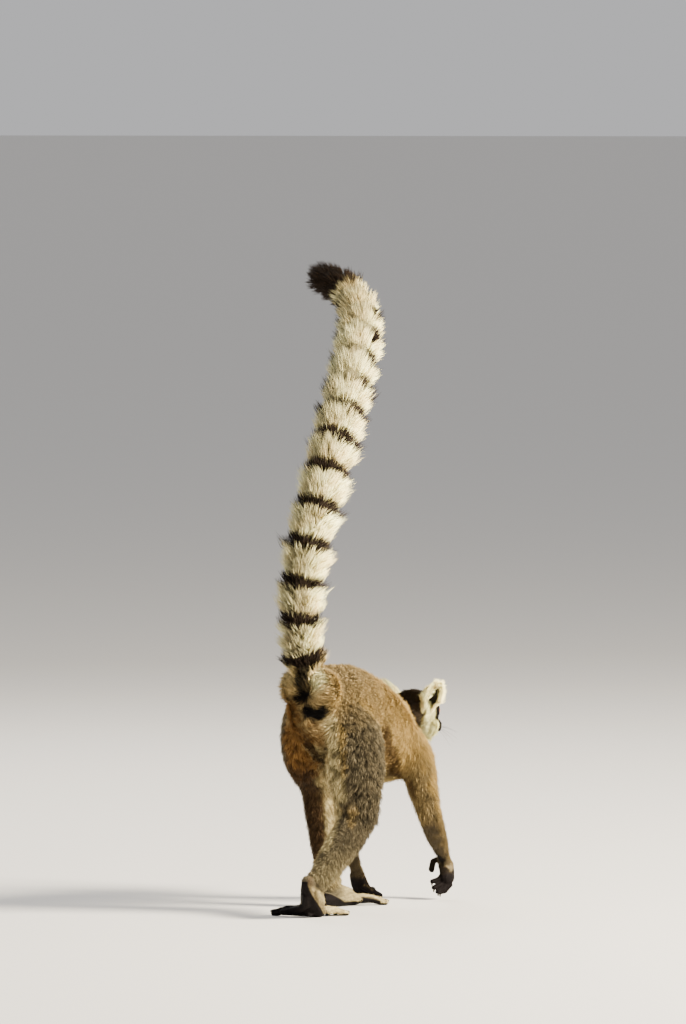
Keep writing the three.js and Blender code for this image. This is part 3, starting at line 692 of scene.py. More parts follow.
def make_level(nodes, extras, voxel):
    """The skin of some nodes, inside their outline by the coat's depth."""
    skin = remeshed(*joined([grown_copy(node) for node in nodes] + extras), voxel)
    place_fields(skin)
    fields = skin.fields
    skin.points = skin.spread(skin.points, SMOOTHING_ROUNDS, fields["soft"])
    skin.find_normals()
    shape_head(skin)
    shape_rump(skin)
    shape_tail(skin)
    depth = skin.spread(fields["depth"], DEPTH_ROUNDS)
    skin.points = skin.points - fields["normals"] * (depth * MM)[:, None]
    fields["mouth"] = mouth_gap(skin)
    groove = np.exp(-((fields["mouth"] / MOUTH_WIDTH) ** 2)) * MOUTH_DEPTH * MM
    skin.points -= fields["normals"] * groove[:, None]
    skin.points[:, 2] = np.maximum(skin.points[:, 2], FLOOR_GAP)
    skin.find_normals()
    fields["lie"] = flatten_onto(fields["lie"] + 1e-6, fields["normals"])
    kinds = [FAMILIES.index(name) for name in FINE_FAMILIES]
    fields["small_forms"] = fields["shares"][:, kinds].sum(axis=1)
    return skin


def make_skin():
    """The whole skin, with smaller faces on the head, hands and feet."""
    voxel = bpy.context.scene.lemur_coat.fineness
    sockets = [ball(box_middle(f"eye_{side}"), EYE_SOCKET) for side in SIDES]
    coarse = make_level(SKIN_NODES, [TAIL.core(), *sockets, *filling()], voxel)
    near = [node for node in SKIN_NODES if family(node) in NEAR_FINE]
    fine = make_level(near, [*sockets, *filling()[: len(WEB)]], voxel / 2)
    coarse = coarse.part(coarse.fields["small_forms"] < SMALL_FORMS[1])
    fine = fine.part(fine.fields["small_forms"] > SMALL_FORMS[0])
    skin = Skin(*joined([(coarse.points, coarse.triangles), (fine.points, fine.triangles)]))
    skin.fields = {name: np.concatenate([coarse.fields[name], fine.fields[name]]) for name in coarse.fields}
    skin.fields["colours"] = coat_colours(skin)
    return skin


# ---- Markings, and painted shade ----

# Spots and strokes of one colour: places as forward, left and up in millimetres from under the hips, a
# radius, the colour, and how strong it is. Most are markings of the coat; the strokes noted below are painted
# shade.
MARKS = [
    ([(-36, 22, 258), (-34, 20, 228), (-14, 36, 214), (4, 32, 188), (26, 38, 168)], 25, "orange_tan", 0.95),
    # painted shade: a dark stroke down the middle, in the crotch between the thighs
    ([(-44, 2, 236), (-30, 4, 215), (-10, 6, 196), (10, 2, 186)], 9, "umber", 0.9),
    # painted shade: dark brown down the back of the left thigh and shank, the side away from the key
    ([(26, 40, 168), (52, 50, 150), (79, 48, 135), (80, 46, 105), (81, 46, 72)], 22, "umber", 0.9),
    ([(88, 26, 132), (84, 24, 96)], 7, "cream", 0.8),
    ([(-42, -26, 240), (-36, -30, 222), (-34, -32, 200), (-30, -32, 172), (-20, -30, 150)], 13, "cream", 0.85),
    ([(-38, -40, 236), (-37, -42, 210), (-32, -42, 180)], 8, "gold", 0.6),
    ([(-12, -20, 128), (-30, -20, 106), (-46, -22, 86)], 10, "cream", 0.85),
    ([(-8, -44, 126), (-16, -48, 116)], 9, "tan", 0.8),
    ([(20, -58, 262), (40, -58, 250)], 16, "gold", 0.6),
    # painted shade: the lower right flank between thigh and arm, where the belly lies in shade
    ([(86, -50, 220), (100, -47, 203), (126, -40, 183), (150, -30, 166)], 15, "umber", 0.85),
    # painted shade: behind and under the right upper arm
    ([(146, -36, 168), (158, -34, 162), (163, -46, 151), (161, -54, 139)], 10, "umber", 0.65),
    ([(230, -56, 59), (236, -58, 54), (243, -60, 48)], 8, "black", 1.0),
    ([(250, -69, 45), (252, -71, 41)], 7, "grey", 0.8),
    ([(-48, -6, 238), (-34, -9, 216)], 14, "orange_tan", 0.6),
    ([(-8, -34, 281), (-24, -36, 272)], 12, "olive_grey", 0.4),
    ([(-56, 24, 300), (-50, 27, 286)], 14, "cream", 0.75),
    ([(-70, -3, 311), (-65, -1, 296), (-56, 2, 283), (-51, 8, 272)], 12, "black", 1.0),
    ([(-48.5, -31.4, 295), (-42, -37, 282), (-40, -36, 270)], 17, "gold", 0.6),
    ([(-57, -17, 302), (-55, -21, 289)], 14, "white", 0.75),
    ([(-53, -4, 256), (-52, -12, 253), (-51, -19, 256)], 11, "black", 1.0),
]
CUFF = (-48, 57.5)  # left of the middle and up, where the hair of the raised hand ends on its inner side
OUTER_EDGE = -19  # left of the middle, where the pale outer side of the raised foot begins
FLAT_SOLE, FLAT_HEEL = 7.5, 118  # how far up the flat foot is bare, and how far forward its bare heel reaches
RAISED_SOLE = 50  # how far up the raised foot is bare
THUMB_SPAN = -75, -30  # where along the raised foot its first toe grows
HAND_LENGTH = 60
HAND_LINES = {  # palm and knuckles
    "left": (np.array([226.0, 46, 21]), np.array([238.0, 46, 9.5])),
    "right": (np.array([256.0, -62, 40]), np.array([254.0, -64, 27])),
}
TOE_JOINTS = [(163, 5, 9), (169, 13, 9), (167, 21, 9), (159, 28, 9)]
TOE_JOINTS += [(-17, -10, 9), (-11, -17, 9), (-10, -25, 9), (-15, -33, 9)]
LOCKS = [((-46, -34, 284), 19, 6), ((-54, 25, 290), 15, 4)]  # middle, radius and height of a full lock, in mm
LOCK_LENGTH, LOCK_LIFT = 0.5, 10  # how much longer the hair of a lock is, and how many degrees more it lifts


def places_of(points):
    """Forward of the hips, to the left, and up, in millimetres."""
    return np.stack([HIP_FORWARD - points[:, 1] / MM, points[:, 0] / MM, points[:, 2] / MM], axis=1)


def with_marks(shades, points):
    """Lays the marks over colours, with ragged edges. It changes the colours it is given."""
    places = places_of(points)
    ragged = waves(points, 9 * MM, 21) * 0.16 + waves(points, 4 * MM, 22) * 0.1
    for line, radius, name, strength in MARKS:
        line = np.array(line, float)
        low, high = line.min(axis=0) - 1.5 * radius, line.max(axis=0) + 1.5 * radius
        near = np.flatnonzero(((places > low) & (places < high)).all(axis=1))
        path = through(line, 2.0) if len(line) > 1 else line
        gaps = line_gap(places[near], path) / radius + ragged[near]
        share = smoothstep(1.15 - gaps, 0, 1.5 - strength) * strength
        shades[near] = blend(shades[near], colour(name), share)
    return shades


def trunk_colours(skin):
    """Tan grey along the back, warmer on the flanks, cream below."""
    forward, _, _ = places_of(skin.points).T
    up = skin.fields["normals"][:, 2]
    mottle = waves(skin.points, 26 * MM, 3)
    fine = waves(skin.points, 9 * MM, 4)
    back = smoothstep(up + 0.1 * mottle, 0.25, 0.95)
    belly = smoothstep(-up + 0.1 * mottle, 0.6, 0.95)
    front = smoothstep(forward, 30, 170)
    flank = blend(blend("grey", "tan", 0.55), "gold", 0.15 + 0.45 * front)
    top = blend(colour("grey") * 1.15, "tan", 0.3 + 0.3 * front)
    shades = blend(flank, top, back * 0.85)
    return blend(shades, "cream", belly * 0.6) * (1.34 + 0.05 * mottle + 0.06 * fine)[:, None]


def limb_colours(skin):
    """Olive grey on the outside of the thigh and shank, with pale insides; golden arms, greyer behind and
    below. Returns the colours of the legs, upper arms and forearms."""
    mottle = waves(skin.points, 15 * MM, 5)
    fine = waves(skin.points, 6 * MM, 6)
    on_left = np.array([name.endswith("_left") for name in CHARTED])[skin.fields["labels"]]
    normals = skin.fields["normals"]
    outward = normals[:, 0] * np.where(on_left, 1, -1)
    front, behind = -normals[:, 1], normals[:, 1]
    height = places_of(skin.points)[:, 2]
    outside = blend("olive_grey", "grey", clamp(0.36 + 0.14 * mottle + 0.1 * fine))
    outside = blend(outside, "gold", 0.6 * smoothstep(front + 0.1 * mottle, 0.45, 0.95))
    outside = blend(outside, "cream", 0.3 * smoothstep(100 - height, 0, 60))
    inside = blend("cream", "tan", clamp(0.35 + 0.35 * mottle))
    inside *= (1 - 0.32 * smoothstep(75 - height, 0, 40))[:, None]
    leg = blend(outside, inside, smoothstep(-outward + 0.12 * mottle, 0.35, 0.8))
    arm = blend("gold", "tan", smoothstep(outward, -0.2, 0.7) * 0.5)
    arm = blend(arm, "cream", smoothstep(-outward, 0.3, 0.9) * 0.5)
    dull = smoothstep(behind + 0.3 * mottle - 0.2 * outward, -0.25, 0.45) * smoothstep(215 - height, 0, 60)
    arm = blend(arm, blend("grey", "olive_grey", 0.5), dull * 0.7)
    forearm = blend(arm, blend("grey", "tan", 0.4), 0.7)
    forearm = blend(forearm, blend("olive_grey", "umber", 0.3), np.clip(dull * 1.4, 0, 0.85))
    arm, forearm = arm * (0.86 + 0.05 * fine)[:, None], forearm * (0.7 + 0.08 * fine)[:, None]
    return leg * (1 + 0.08 * fine)[:, None], arm, forearm


def head_colours(skin):
    """White face, cheeks and throat, dark patches round the eyes, dark muzzle and dark crown."""
    forward, left, up = HEAD.local(skin.points)
    side = np.abs(left)
    mottle = waves(skin.points, 9 * MM, 7)
    shades = np.broadcast_to(colour("white"), skin.points.shape)
    crown = smoothstep(up - 11 - 0.3 * np.clip(forward, 0, 20) - 0.1 * side + mottle * 1.5, 0, 6)
    crown *= smoothstep(19 - forward + mottle, 0, 6) * smoothstep(25 - side, 0, 6)
    nape = smoothstep(-forward - 8 + mottle, 0, 6) * smoothstep(up + 20 + mottle, 0, 8)
    nape *= smoothstep(27 - side, 0, 5)
    shades = blend(shades, colour("charcoal") * 1.5, np.maximum(crown, nape))
    muzzle = smoothstep(forward + 0.25 * up + mottle * 0.7, 31, 38)
    shades = blend(shades, colour("charcoal") * 0.55, muzzle)
    _, eye_side, eye_up = EYE_PLACE
    patch = np.hypot((side - eye_side) / EYE_PATCH[0], (up - eye_up + 0.5 * (side - eye_side)) / EYE_PATCH[1])
    patch = smoothstep(1.12 - patch + 0.06 * mottle, 0, 0.2) * smoothstep(forward, 6, 12)
    return blend(shades, colour("charcoal") * 0.4, patch)


def bareness(skin):
    """How bare the feet and the hands are: 1 on soles, palms and fingers."""
    normals = skin.fields["normals"]
    foot, hand = share_of(skin.fields, "foot"), share_of(skin.fields, "hand")
    down = -normals[:, 2]
    places = places_of(skin.points)
    forward, left, up = places.T
    flat_sole = smoothstep(down, -0.1, 0.3) * smoothstep(FLAT_SOLE - up, 0, 2)
    turned = smoothstep(0.8 * normals[:, 1] - 0.6 * normals[:, 0], -0.3, 0.1)
    side_sole = smoothstep(60 - 0.5 * forward - up, 0, 2) * smoothstep(FLAT_HEEL - forward, 0, 4)
    flat_sole = np.maximum(flat_sole, side_sole * turned)
    raised_sole = smoothstep(down + 0.55 * normals[:, 1], -0.1, 0.2)
    strip = smoothstep(OUTER_EDGE - left, 0, 1.5) * smoothstep(up, 2, 5)
    raised_sole *= (1 - strip) * smoothstep(RAISED_SOLE - up, 0, 2)
    web = (left > OUTER_EDGE + 2) & (left < 18) & (up < 16)
    thumb = np.maximum(smoothstep(left, 8, 14) * smoothstep(0.25 - normals[:, 2], 0, 0.2), web)
    raised_sole = np.maximum(raised_sole, thumb * (forward > THUMB_SPAN[0]) * (forward < THUMB_SPAN[1]))
    fingers = np.zeros(len(places))
    for palm, knuckles in HAND_LINES.values():
        reach = (places - palm) @ unit(knuckles - palm) / np.linalg.norm(knuckles - palm)
        near = lengths(places - palm) < HAND_LENGTH
        fingers = np.maximum(fingers, smoothstep(reach, 0.2, 0.9) * near)
    sole = np.where(left > 0, flat_sole, raised_sole)
    return foot * sole, hand * np.maximum(smoothstep(down, -0.3, 0.3), fingers) * (1 - cuff(places))


def cuff(places):
    """How far the pale hair of the raised hand's back reaches down over its outer side."""
    edge = CUFF[1] + 0.85 * (places[:, 1] - CUFF[0])
    return smoothstep(places[:, 2] - edge, -1.5, 1.5) * (places[:, 1] < 0)


def hand_and_foot_colours(skin):
    """Pale tops of the feet with darker joints, dark hands streaked with tan; painted shade darkens the flat
    foot.
    """
    bare_foot, bare_hand = bareness(skin)
    fine = waves(skin.points, 5 * MM, 8)
    places = places_of(skin.points)
    forward, left, up = places.T
    on_left = left > 0  # the flat foot, and the hand on the ground
    foot = blend("cream", "grey", clamp(0.4 + 0.25 * fine))
    # painted shade: the flat foot is darker all over than the raised one
    foot *= np.where(on_left, 0.74, 1.0)[:, None]
    raised_heel = smoothstep(up - 45 - 0.9 * np.minimum(left - OUTER_EDGE, 0), -3, 3)
    heel = np.where(on_left, smoothstep(112 - forward, 0, 26), raised_heel)
    foot = blend(foot, blend("grey", "olive_grey", 0.85), heel)
    joints = line_gap(places, np.array(TOE_JOINTS, float))
    foot = blend(foot, "umber", 0.55 * np.exp(-((joints / 3.2) ** 2)))
    border = np.exp(-(((left - OUTER_EDGE + 2) / 3.0) ** 2)) * (forward < -30) * ~on_left
    foot = blend(foot, "umber", 0.6 * border)
    foot = blend(foot, "bare_skin", bare_foot)
    streaks = clamp(0.06 + 0.2 * fine) * np.where(on_left, 1, 0.05)
    hand = blend(colour("charcoal") * 0.5, "tan", streaks)
    hand = blend(hand, blend("grey", "tan", 0.4) * 0.65, cuff(places))
    return foot, blend(hand, "bare_skin", bare_hand)


def tail_colours(points, along):
    """Dark and pale rings with ragged edges, dusky beneath near the rump, and a long dark tip; painted shade
    greys the pale rings on the tail's left side.
    """
    away, under, side = TAIL.beside(points, along)
    beneath = under / np.hypot(under, side).clip(1e-6)
    ragged = waves(points, 8 * MM, 11) * 1.1 * MM + waves(points, 3 * MM, 12) * 0.7 * MM
    bands, share = TAIL.bands(along + ragged)
    dark = (bands >= 0) & (bands % 2 == 0)
    sides = smoothstep(np.abs(side) / np.hypot(under, side).clip(1e-6), 0.45, 0.9)
    dark |= (bands % 2 == 1) & (share > 1 - 0.3 * sides * smoothstep(bands, 9, 15))
    shade = waves(points, 30 * MM, 13)
    pale = blend("white", "cream", clamp(0.45 + 0.4 * shade))
    # painted shade: the pale rings turn olive grey towards the tail's left side
    painted_shade_left = smoothstep(away[:, 0] / lengths(away).clip(1e-6), 0, 0.9)
    pale = blend(pale, "olive_grey", 0.3 * painted_shade_left)
    pale = blend(pale, "gold", 0.45 * smoothstep(beneath, 0.3, 0.9) * smoothstep(bands, 17, 24))
    streaks = 0.5 + 0.5 * waves(points, 5 * MM, 14)
    dusk = smoothstep(beneath, 0.6, 0.95) * (0.5 + 0.45 * smoothstep(8 - bands, 0, 5)) * (0.4 + 0.6 * streaks)
    pale = blend(pale, "olive_grey", dusk * (bands >= 0))
    worn = smoothstep(beneath, 0.5, 0.9) * smoothstep(bands, 12, 20)
    deep = blend(blend("black", "umber", 0.18), pale * 0.7, worn * 0.85)
    tip = smoothstep(along + 2 * ragged, TAIL.length - DARK_TIP - 2 * MM, TAIL.length - DARK_TIP + 2 * MM)
    shades = blend(np.where(dark[:, None], deep, pale), blend("black", "umber", 0.25), tip)
    root = blend("cream", "gold", 0.3 + 0.3 * shade)
    stripe = smoothstep(13 * MM - np.abs(side + 4 * MM), 0, 3 * MM) * (under > 0)
    root = blend(root, "black", 0.95 * stripe)
    return np.where((bands < 0)[:, None], root, shades)


def coat_colours(skin):
    """The colour of the coat at every vertex of the skin."""
    fields = skin.fields
    leg, arm, forearm = limb_colours(skin)
    foot, hand = hand_and_foot_colours(skin)
    trunk = trunk_colours(skin)
    hip = smoothstep(places_of(skin.points)[:, 2] + 8 * waves(skin.points, 20 * MM, 9), 222, 280)
    leg = blend(leg, trunk * 0.85, 0.8 * hip)
    throat = smoothstep(-fields["normals"] @ HEAD.up, -0.1, 0.5)
    forward, _, _ = HEAD.local(skin.points)
    neck = blend(colour("charcoal") * 1.5, trunk, smoothstep(-forward, 30, 46))
    neck = blend(neck, "white", throat * 0.9)
    by_family = {
        "rump": trunk,
        "abdomen": trunk,
        "chest": trunk,
        "neck": neck,
        "head": head_colours(skin),
        "thigh": leg,
        "shank": leg,
        "foot": foot,
        "upper_arm": arm,
        "forearm": forearm,
        "hand": hand,
        "tail": tail_colours(skin.points, fields["along"] + TIP_OVERLAP * 0.6),
    }
    shades = np.zeros_like(skin.points)
    wide = skin.spread(fields["shares"], COLOUR_ROUNDS)
    for name, values in by_family.items():
        shades += values * wide[:, [FAMILIES.index(name)]]
    off_tail = 1 - share_of(fields, "tail")
    fields["plain"] = shades
    outer = skin.points + fields["normals"] * (fields["depth"] * MM)[:, None]
    shades = blend(shades, with_marks(shades.copy(), outer), smoothstep(off_tail, 0.3, 0.7))
    lips = np.exp(-((fields["mouth"] / 1.5) ** 2)) * share_of(fields, "head")
    return clamp(blend(shades, "black", lips))


# ---- The bake's map: an unwrap of the skin, part by part, round each part's own axis ----

CHART_COLUMNS, CHART_ROWS = 4, 5
TAIL_LABEL = len(SKIN_NODES)
TAIL_STRIP = 0.2  # share of the map's width that the tail has
CHART_EDGE, CHART_FILL = 0.05, 0.9  # shares of a chart's place on the map
TAIL_EDGE, TAIL_FILL = 0.01, 0.98


class Charts:
    """The axes of the parts, and the places on the map that they give."""

    def __init__(self):
        self.axes = lie_of_coat()
        for side in SIDES:
            self.axes[f"ear_{side}"] = HEAD.up
        self.middles = {node: middle(node) for node in CHARTED if node != "tail"}
        self.spans = {}
        for node, centre in self.middles.items():
            reach = (points_of(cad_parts[node].data) - centre) @ self.axes[node]
            self.spans[node] = reach.min(), reach.max()

    def turns(self, points, labels):
        """Place along each chart and round it, both 0 to 1."""
        along = np.zeros(len(points))
        around = np.zeros(len(points))
        for label in np.unique(labels):
            mine = labels == label
            if label == TAIL_LABEL:
                distance, _ = TAIL.nearest(points[mine])
                _, under, side = TAIL.beside(points[mine], distance)
                along[mine] = distance / TAIL.length
                around[mine] = np.arctan2(under, side) / (2 * math.pi) % 1
                continue
            node = CHARTED[label]
            away = points[mine] - self.middles[node]
            axis = self.axes[node]
            side = flatten_onto(np.array([1.0, 0.2, 0.1]), axis)
            low, high = self.spans[node]
            along[mine] = clamp((away @ axis - low) / (high - low))
            around[mine] = np.arctan2(away @ np.cross(axis, side), away @ side) / (2 * math.pi) % 1
        return along, around

    def spots(self, along, around, labels):
        """Places on the map."""
        on_tail = labels == TAIL_LABEL
        column, row = labels % CHART_COLUMNS, labels // CHART_COLUMNS
        wide, tall = (1 - TAIL_STRIP) / CHART_COLUMNS, 1 / CHART_ROWS
        u = TAIL_STRIP + (column + CHART_EDGE + around * CHART_FILL) * wide
        v = (row + CHART_EDGE + along * CHART_FILL) * tall
        u = np.where(on_tail, (CHART_EDGE + around * CHART_FILL) * TAIL_STRIP, u)
        v = np.where(on_tail, TAIL_EDGE + along * TAIL_FILL, v)
        return np.stack([u, v], axis=1)

    def unwrap(self, piece, skin):
        """Writes the map of a whole surface."""
        labels = skin.fields["labels"]
        along, around = self.turns(skin.points, labels)
        owners = labels[skin.triangles[:, 0]]
        turned = around[skin.triangles]
        wraps = (turned.max(axis=1) - turned.min(axis=1)) > 0.5
        turned = np.where(wraps[:, None] & (turned < 0.5), 1.0, turned)
        map_corners(piece, self.spots(along[skin.triangles].ravel(), turned.ravel(), np.repeat(owners, 3)))


CHARTS = Charts()


def map_corners(piece, places):
    """Writes the bake's map: one place for each corner of each face."""
    layer = piece.data.uv_layers.new(name="OFBake")
    layer.data.foreach_set("uv", np.asarray(places, np.float32).ravel())


# ---- Tufts ----

BENT_TEMPLATE = [(0, 2, 1), (0, 1, 4), (0, 4, 3), (1, 2, 5), (1, 5, 4), (2, 0, 3), (2, 3, 5)]
BENT_TEMPLATE = np.array(BENT_TEMPLATE + [(3, 4, 6), (4, 5, 6), (5, 3, 6)])
FINE_TEMPLATE = np.array([(0, 2, 1), (0, 1, 3), (1, 2, 3), (2, 0, 3)])
PATCH = 0.003  # size of one tuft's patch on the bake's map
BENT_PATCH = np.array([(0, 0), (1, 0), (0.5, 0.1), (0, 0.5), (1, 0.5), (0.5, 0.6), (0.5, 1)]) - 0.5
FINE_PATCH = np.array([(0, 0), (1, 0), (0.5, 0.1), (0.5, 1)]) - 0.5
BEND = 0.55  # share of a tuft's length before its bend
TIP_SHADE, TICKING_SHADE = 1.15, 0.55  # of a tuft's tip, and of the darker tufts, against the coat's colour
LENGTH_RANGE, WIDTH_RANGE = (0.75, 1.25), (0.7, 1.3)  # of a tuft against its region's
FINE_WIDTH = 0.62  # of a fine tuft against a bent one
FOOT_WIDTH = 0.8  # of a bent tuft at its root against its bend
TUFT_HEIGHT, TUFT_SINK = 0.4, 0.4  # a tuft's height, and how deep it stands in the skin, against its width
EDGE_LESS = 0.16  # how much shorter the tufts between clumps are
PULL_RANGE = 0.3, 1.1  # of how far tips lean towards their clump
SWIRL_SIZE, SWIRL_SPREAD = 24 * MM, 0.22
CLUMP_LENGTHS, CLUMP_TURNS = 0.12, 0.28  # how much the lengths and the ways of clumps vary
CLUMP_REACH = 0.97  # of a clump's middle against the length of its tufts
LIFT_SPREAD, TIP_SPREAD = 7, 8  # degrees that the angles of tufts vary by
BEND_PULL = 0.22  # how far a tuft's bend leans with its tip
TUFT_FLOOR_GAP = 0.2 * MM


class Roots:
    """Places scattered over a part of the skin, with all its fields read there."""

    def __init__(self, skin, chosen, density, rng):
        """`chosen` picks skin vertices, and `density` is the count for each square centimetre."""
        triangles = skin.triangles[chosen[skin.triangles].sum(axis=1) > 1]
        a, b, c = (skin.points[triangles[:, k]] for k in range(3))
        areas = lengths(np.cross(b - a, c - a)) / 2
        expected = np.cumsum(areas * density[triangles].mean(axis=1) * 1e4)
        self.count = int(expected[-1]) if len(expected) else 0
        picks = (np.arange(self.count) + rng.uniform(size=self.count)) * (expected[-1] / max(self.count, 1))
        corners = triangles[np.minimum(np.searchsorted(expected, picks), len(triangles) - 1)]
        shares = rng.dirichlet((1, 1, 1), self.count)
        self.points = np.einsum("ij,ijk->ik", shares, skin.points[corners])
        self.fields = {name: self.read(values[corners], shares) for name, values in skin.fields.items()}
        self.fields["labels"] = skin.fields["labels"][corners[:, 0]]
        self.fields["normals"] = unit(self.fields["normals"])
        self.fields["lie"] = flatten_onto(self.fields["lie"], self.fields["normals"])

    @staticmethod
    def read(values, shares):
        return np.einsum("ij,ij...->i...", shares, values)

    def keep(self, mask):
        self.points = self.points[mask]
        self.fields = {name: values[mask] for name, values in self.fields.items()}
        self.count = len(self.points)


class Clumps:
    """Middles scattered over the skin, towards which the tips of the tufts near them lean."""

    def __init__(self, skin, chosen, rng):
        roots = Roots(skin, chosen, 100 / skin.fields["clump"] ** 2, rng)
        fields = roots.fields
        count = roots.count
        self.points = roots.points
        self.tones = 1 + (0.03 + 0.08 * fields["curl"]) * rng.normal(size=count)
        self.lengths = 1 + CLUMP_LENGTHS * rng.normal(size=count)
        self.turns = CLUMP_TURNS * rng.normal(size=count)
        lift, tip = np.radians(fields["lift"])[:, None], np.radians(fields["tip"])[:, None]
        ahead = BEND * np.cos(lift) + (1 - BEND) * np.cos(tip)
        rise = BEND * np.sin(lift) + (1 - BEND) * np.sin(tip)
        reach = (fields["length"] * MM * CLUMP_REACH)[:, None]
        self.tips = roots.points + (fields["normals"] * rise + fields["lie"] * ahead) * reach
        self.tree = KDTree(count)
        for i, place in enumerate(roots.points.tolist()):
            self.tree.insert(place, i)
        self.tree.balance()

    def of(self, points):
        """The nearest clump of each point, and its distance."""
        found = [self.tree.find(place)[1:] for place in points.tolist()]
        return np.array([number for number, _ in found]), np.array([gap for _, gap in found])


def section(centres, across, up, widths):
    """Three corners round each centre: two along `across` and one raised."""
    half = across * (widths / 2)[:, None]
    return centres - half, centres + half, centres + up * (widths * TUFT_HEIGHT)[:, None]


class Strands:
    """Where the tufts of a layer start, bend and end, and the clumps that they belong to."""

    def __init__(self, roots, clumps, rng, bent, lean):
        fields, n = roots.fields, roots.count
        normals = fields["normals"]
        self.owner, gap = clumps.of(roots.points)
        gap = gap / (fields["clump"] * MM)
        self.edge = smoothstep(gap, 0.25, 0.75)
        length = fields["length"] * MM * rng.uniform(*LENGTH_RANGE, n)
        length = length * clumps.lengths[self.owner] * (1 - EDGE_LESS * self.edge)
        self.width = fields["width"] * MM * rng.uniform(*WIDTH_RANGE, n) * (1 if bent else FINE_WIDTH)
        swirl = waves(roots.points, SWIRL_SIZE, 17) * 0.3 + clumps.turns[self.owner]
        swirl = (swirl + rng.normal(0, SWIRL_SPREAD, n)) * fields["curl"]
        across = np.cross(normals, fields["lie"])
        lie = fields["lie"] * np.cos(swirl)[:, None] + across * np.sin(swirl)[:, None]
        self.across = np.cross(normals, lie)
        lift = np.radians(fields["lift"] + rng.normal(0, LIFT_SPREAD, n))
        low = np.radians(fields["tip"] + rng.normal(0, TIP_SPREAD, n))
        first = lie * np.cos(lift)[:, None] + normals * np.sin(lift)[:, None]
        self.second = lie * np.cos(low)[:, None] + normals * np.sin(low)[:, None]
        self.start = roots.points - normals * (self.width * TUFT_SINK)[:, None]
        bend = self.start + first * (length * BEND)[:, None]
        tip = bend + self.second * (length * (1 - BEND))[:, None]
        pull = (lean * rng.uniform(*PULL_RANGE, n) * smoothstep(1.25 - gap, 0, 0.5))[:, None]
        self.tip = tip + (clumps.tips[self.owner] - tip) * pull
        self.bend = bend + (clumps.tips[self.owner] - bend) * pull * BEND_PULL

    def tones(self, fields, clumps, rng):
        """How light each tuft is against the colour of the coat."""
        count = len(self.owner)
        uneven = (0.07 + 0.09 * fields["curl"]) * rng.normal(size=count)
        # crease: painted shade darkens the tufts between clumps
        tones = clumps.tones[self.owner] * (1 - fields["crease"] * self.edge) * np.clip(1 + uneven, 0.6, 1.5)
        return tones * np.where(rng.uniform(size=count) < fields["ticking"], TICKING_SHADE, 1)


def tufts(roots, clumps, rng, bent, lean, by_tip):
    """Closed tapered tufts from roots: points, triangles, colours and places on the map. `by_tip` gives the
    colours from where the tips are."""
    fields = roots.fields
    strands = Strands(roots, clumps, rng, bent, lean)
    tones = strands.tones(fields, clumps, rng)[:, None]
    shades = (fields["colours"] if by_tip is None else by_tip(strands.tip, fields)) * tones
    # Roots darkened by `shade` and tips lightened by TIP_SHADE: painted shade deep in the coat, and partly the
    # hair's own darker base and paler tip.
    root_shade = fields["shade"][:, None]
    shading = [root_shade] * 3
    foot_width = strands.width * (FOOT_WIDTH if bent else 1)
    corners = [*section(strands.start, strands.across, fields["normals"], foot_width)]
    if bent:
        raised = unit(np.cross(strands.second, strands.across))
        corners += section(strands.bend, strands.across, raised, strands.width)
        shading += [(root_shade + TIP_SHADE) / 2] * 3
    points = np.stack([*corners, strands.tip], axis=1)
    points[:, :, 2] = np.maximum(points[:, :, 2], TUFT_FLOOR_GAP)
    shading = np.concatenate([*shading, np.full_like(root_shade, TIP_SHADE)], axis=1)
    template, patch = (BENT_TEMPLATE, BENT_PATCH) if bent else (FINE_TEMPLATE, FINE_PATCH)
    firsts = np.arange(roots.count) * points.shape[1]
    triangles = (firsts[:, None, None] + template).reshape(-1, 3)
    labels = fields["labels"]
    spots = CHARTS.spots(*CHARTS.turns(roots.points, labels), labels)
    corners = (spots[:, None] + patch[None, template.ravel()] * PATCH).reshape(-1, 2)
    shades = (shades[:, None] * shading[:, :, None]).reshape(-1, 3)
    return points.reshape(-1, 3), triangles, shades, corners


def grow(name, slot, skin, chosen, seed, lean, clear=None, by_tip=None):
    """Makes one coat piece: thick bent tufts and fine straight ones, which share their clumps. `lean` is how
    far tips lean towards their clump, and `clear` tells which roots may stay."""
    rng = np.random.default_rng(seed)
    scale = bpy.context.scene.lemur_coat.fullness
    clumps = Clumps(skin, chosen, rng)
    layers = []
    for kind in ("bent", "fine"):
        roots = Roots(skin, chosen, skin.fields[kind] * scale, rng)
        if clear is not None:
            roots.keep(clear(roots))
        if roots.count:
            layers.append(tufts(roots, clumps, rng, kind == "bent", lean, by_tip))
    points, triangles = joined([layer[:2] for layer in layers])
    shades = clamp(np.concatenate([layer[2] for layer in layers]))
    piece = add_piece(name, points, triangles, shades, coat_material(), slot)
    map_corners(piece, np.concatenate([layer[3] for layer in layers]))


# ---- Materials ----


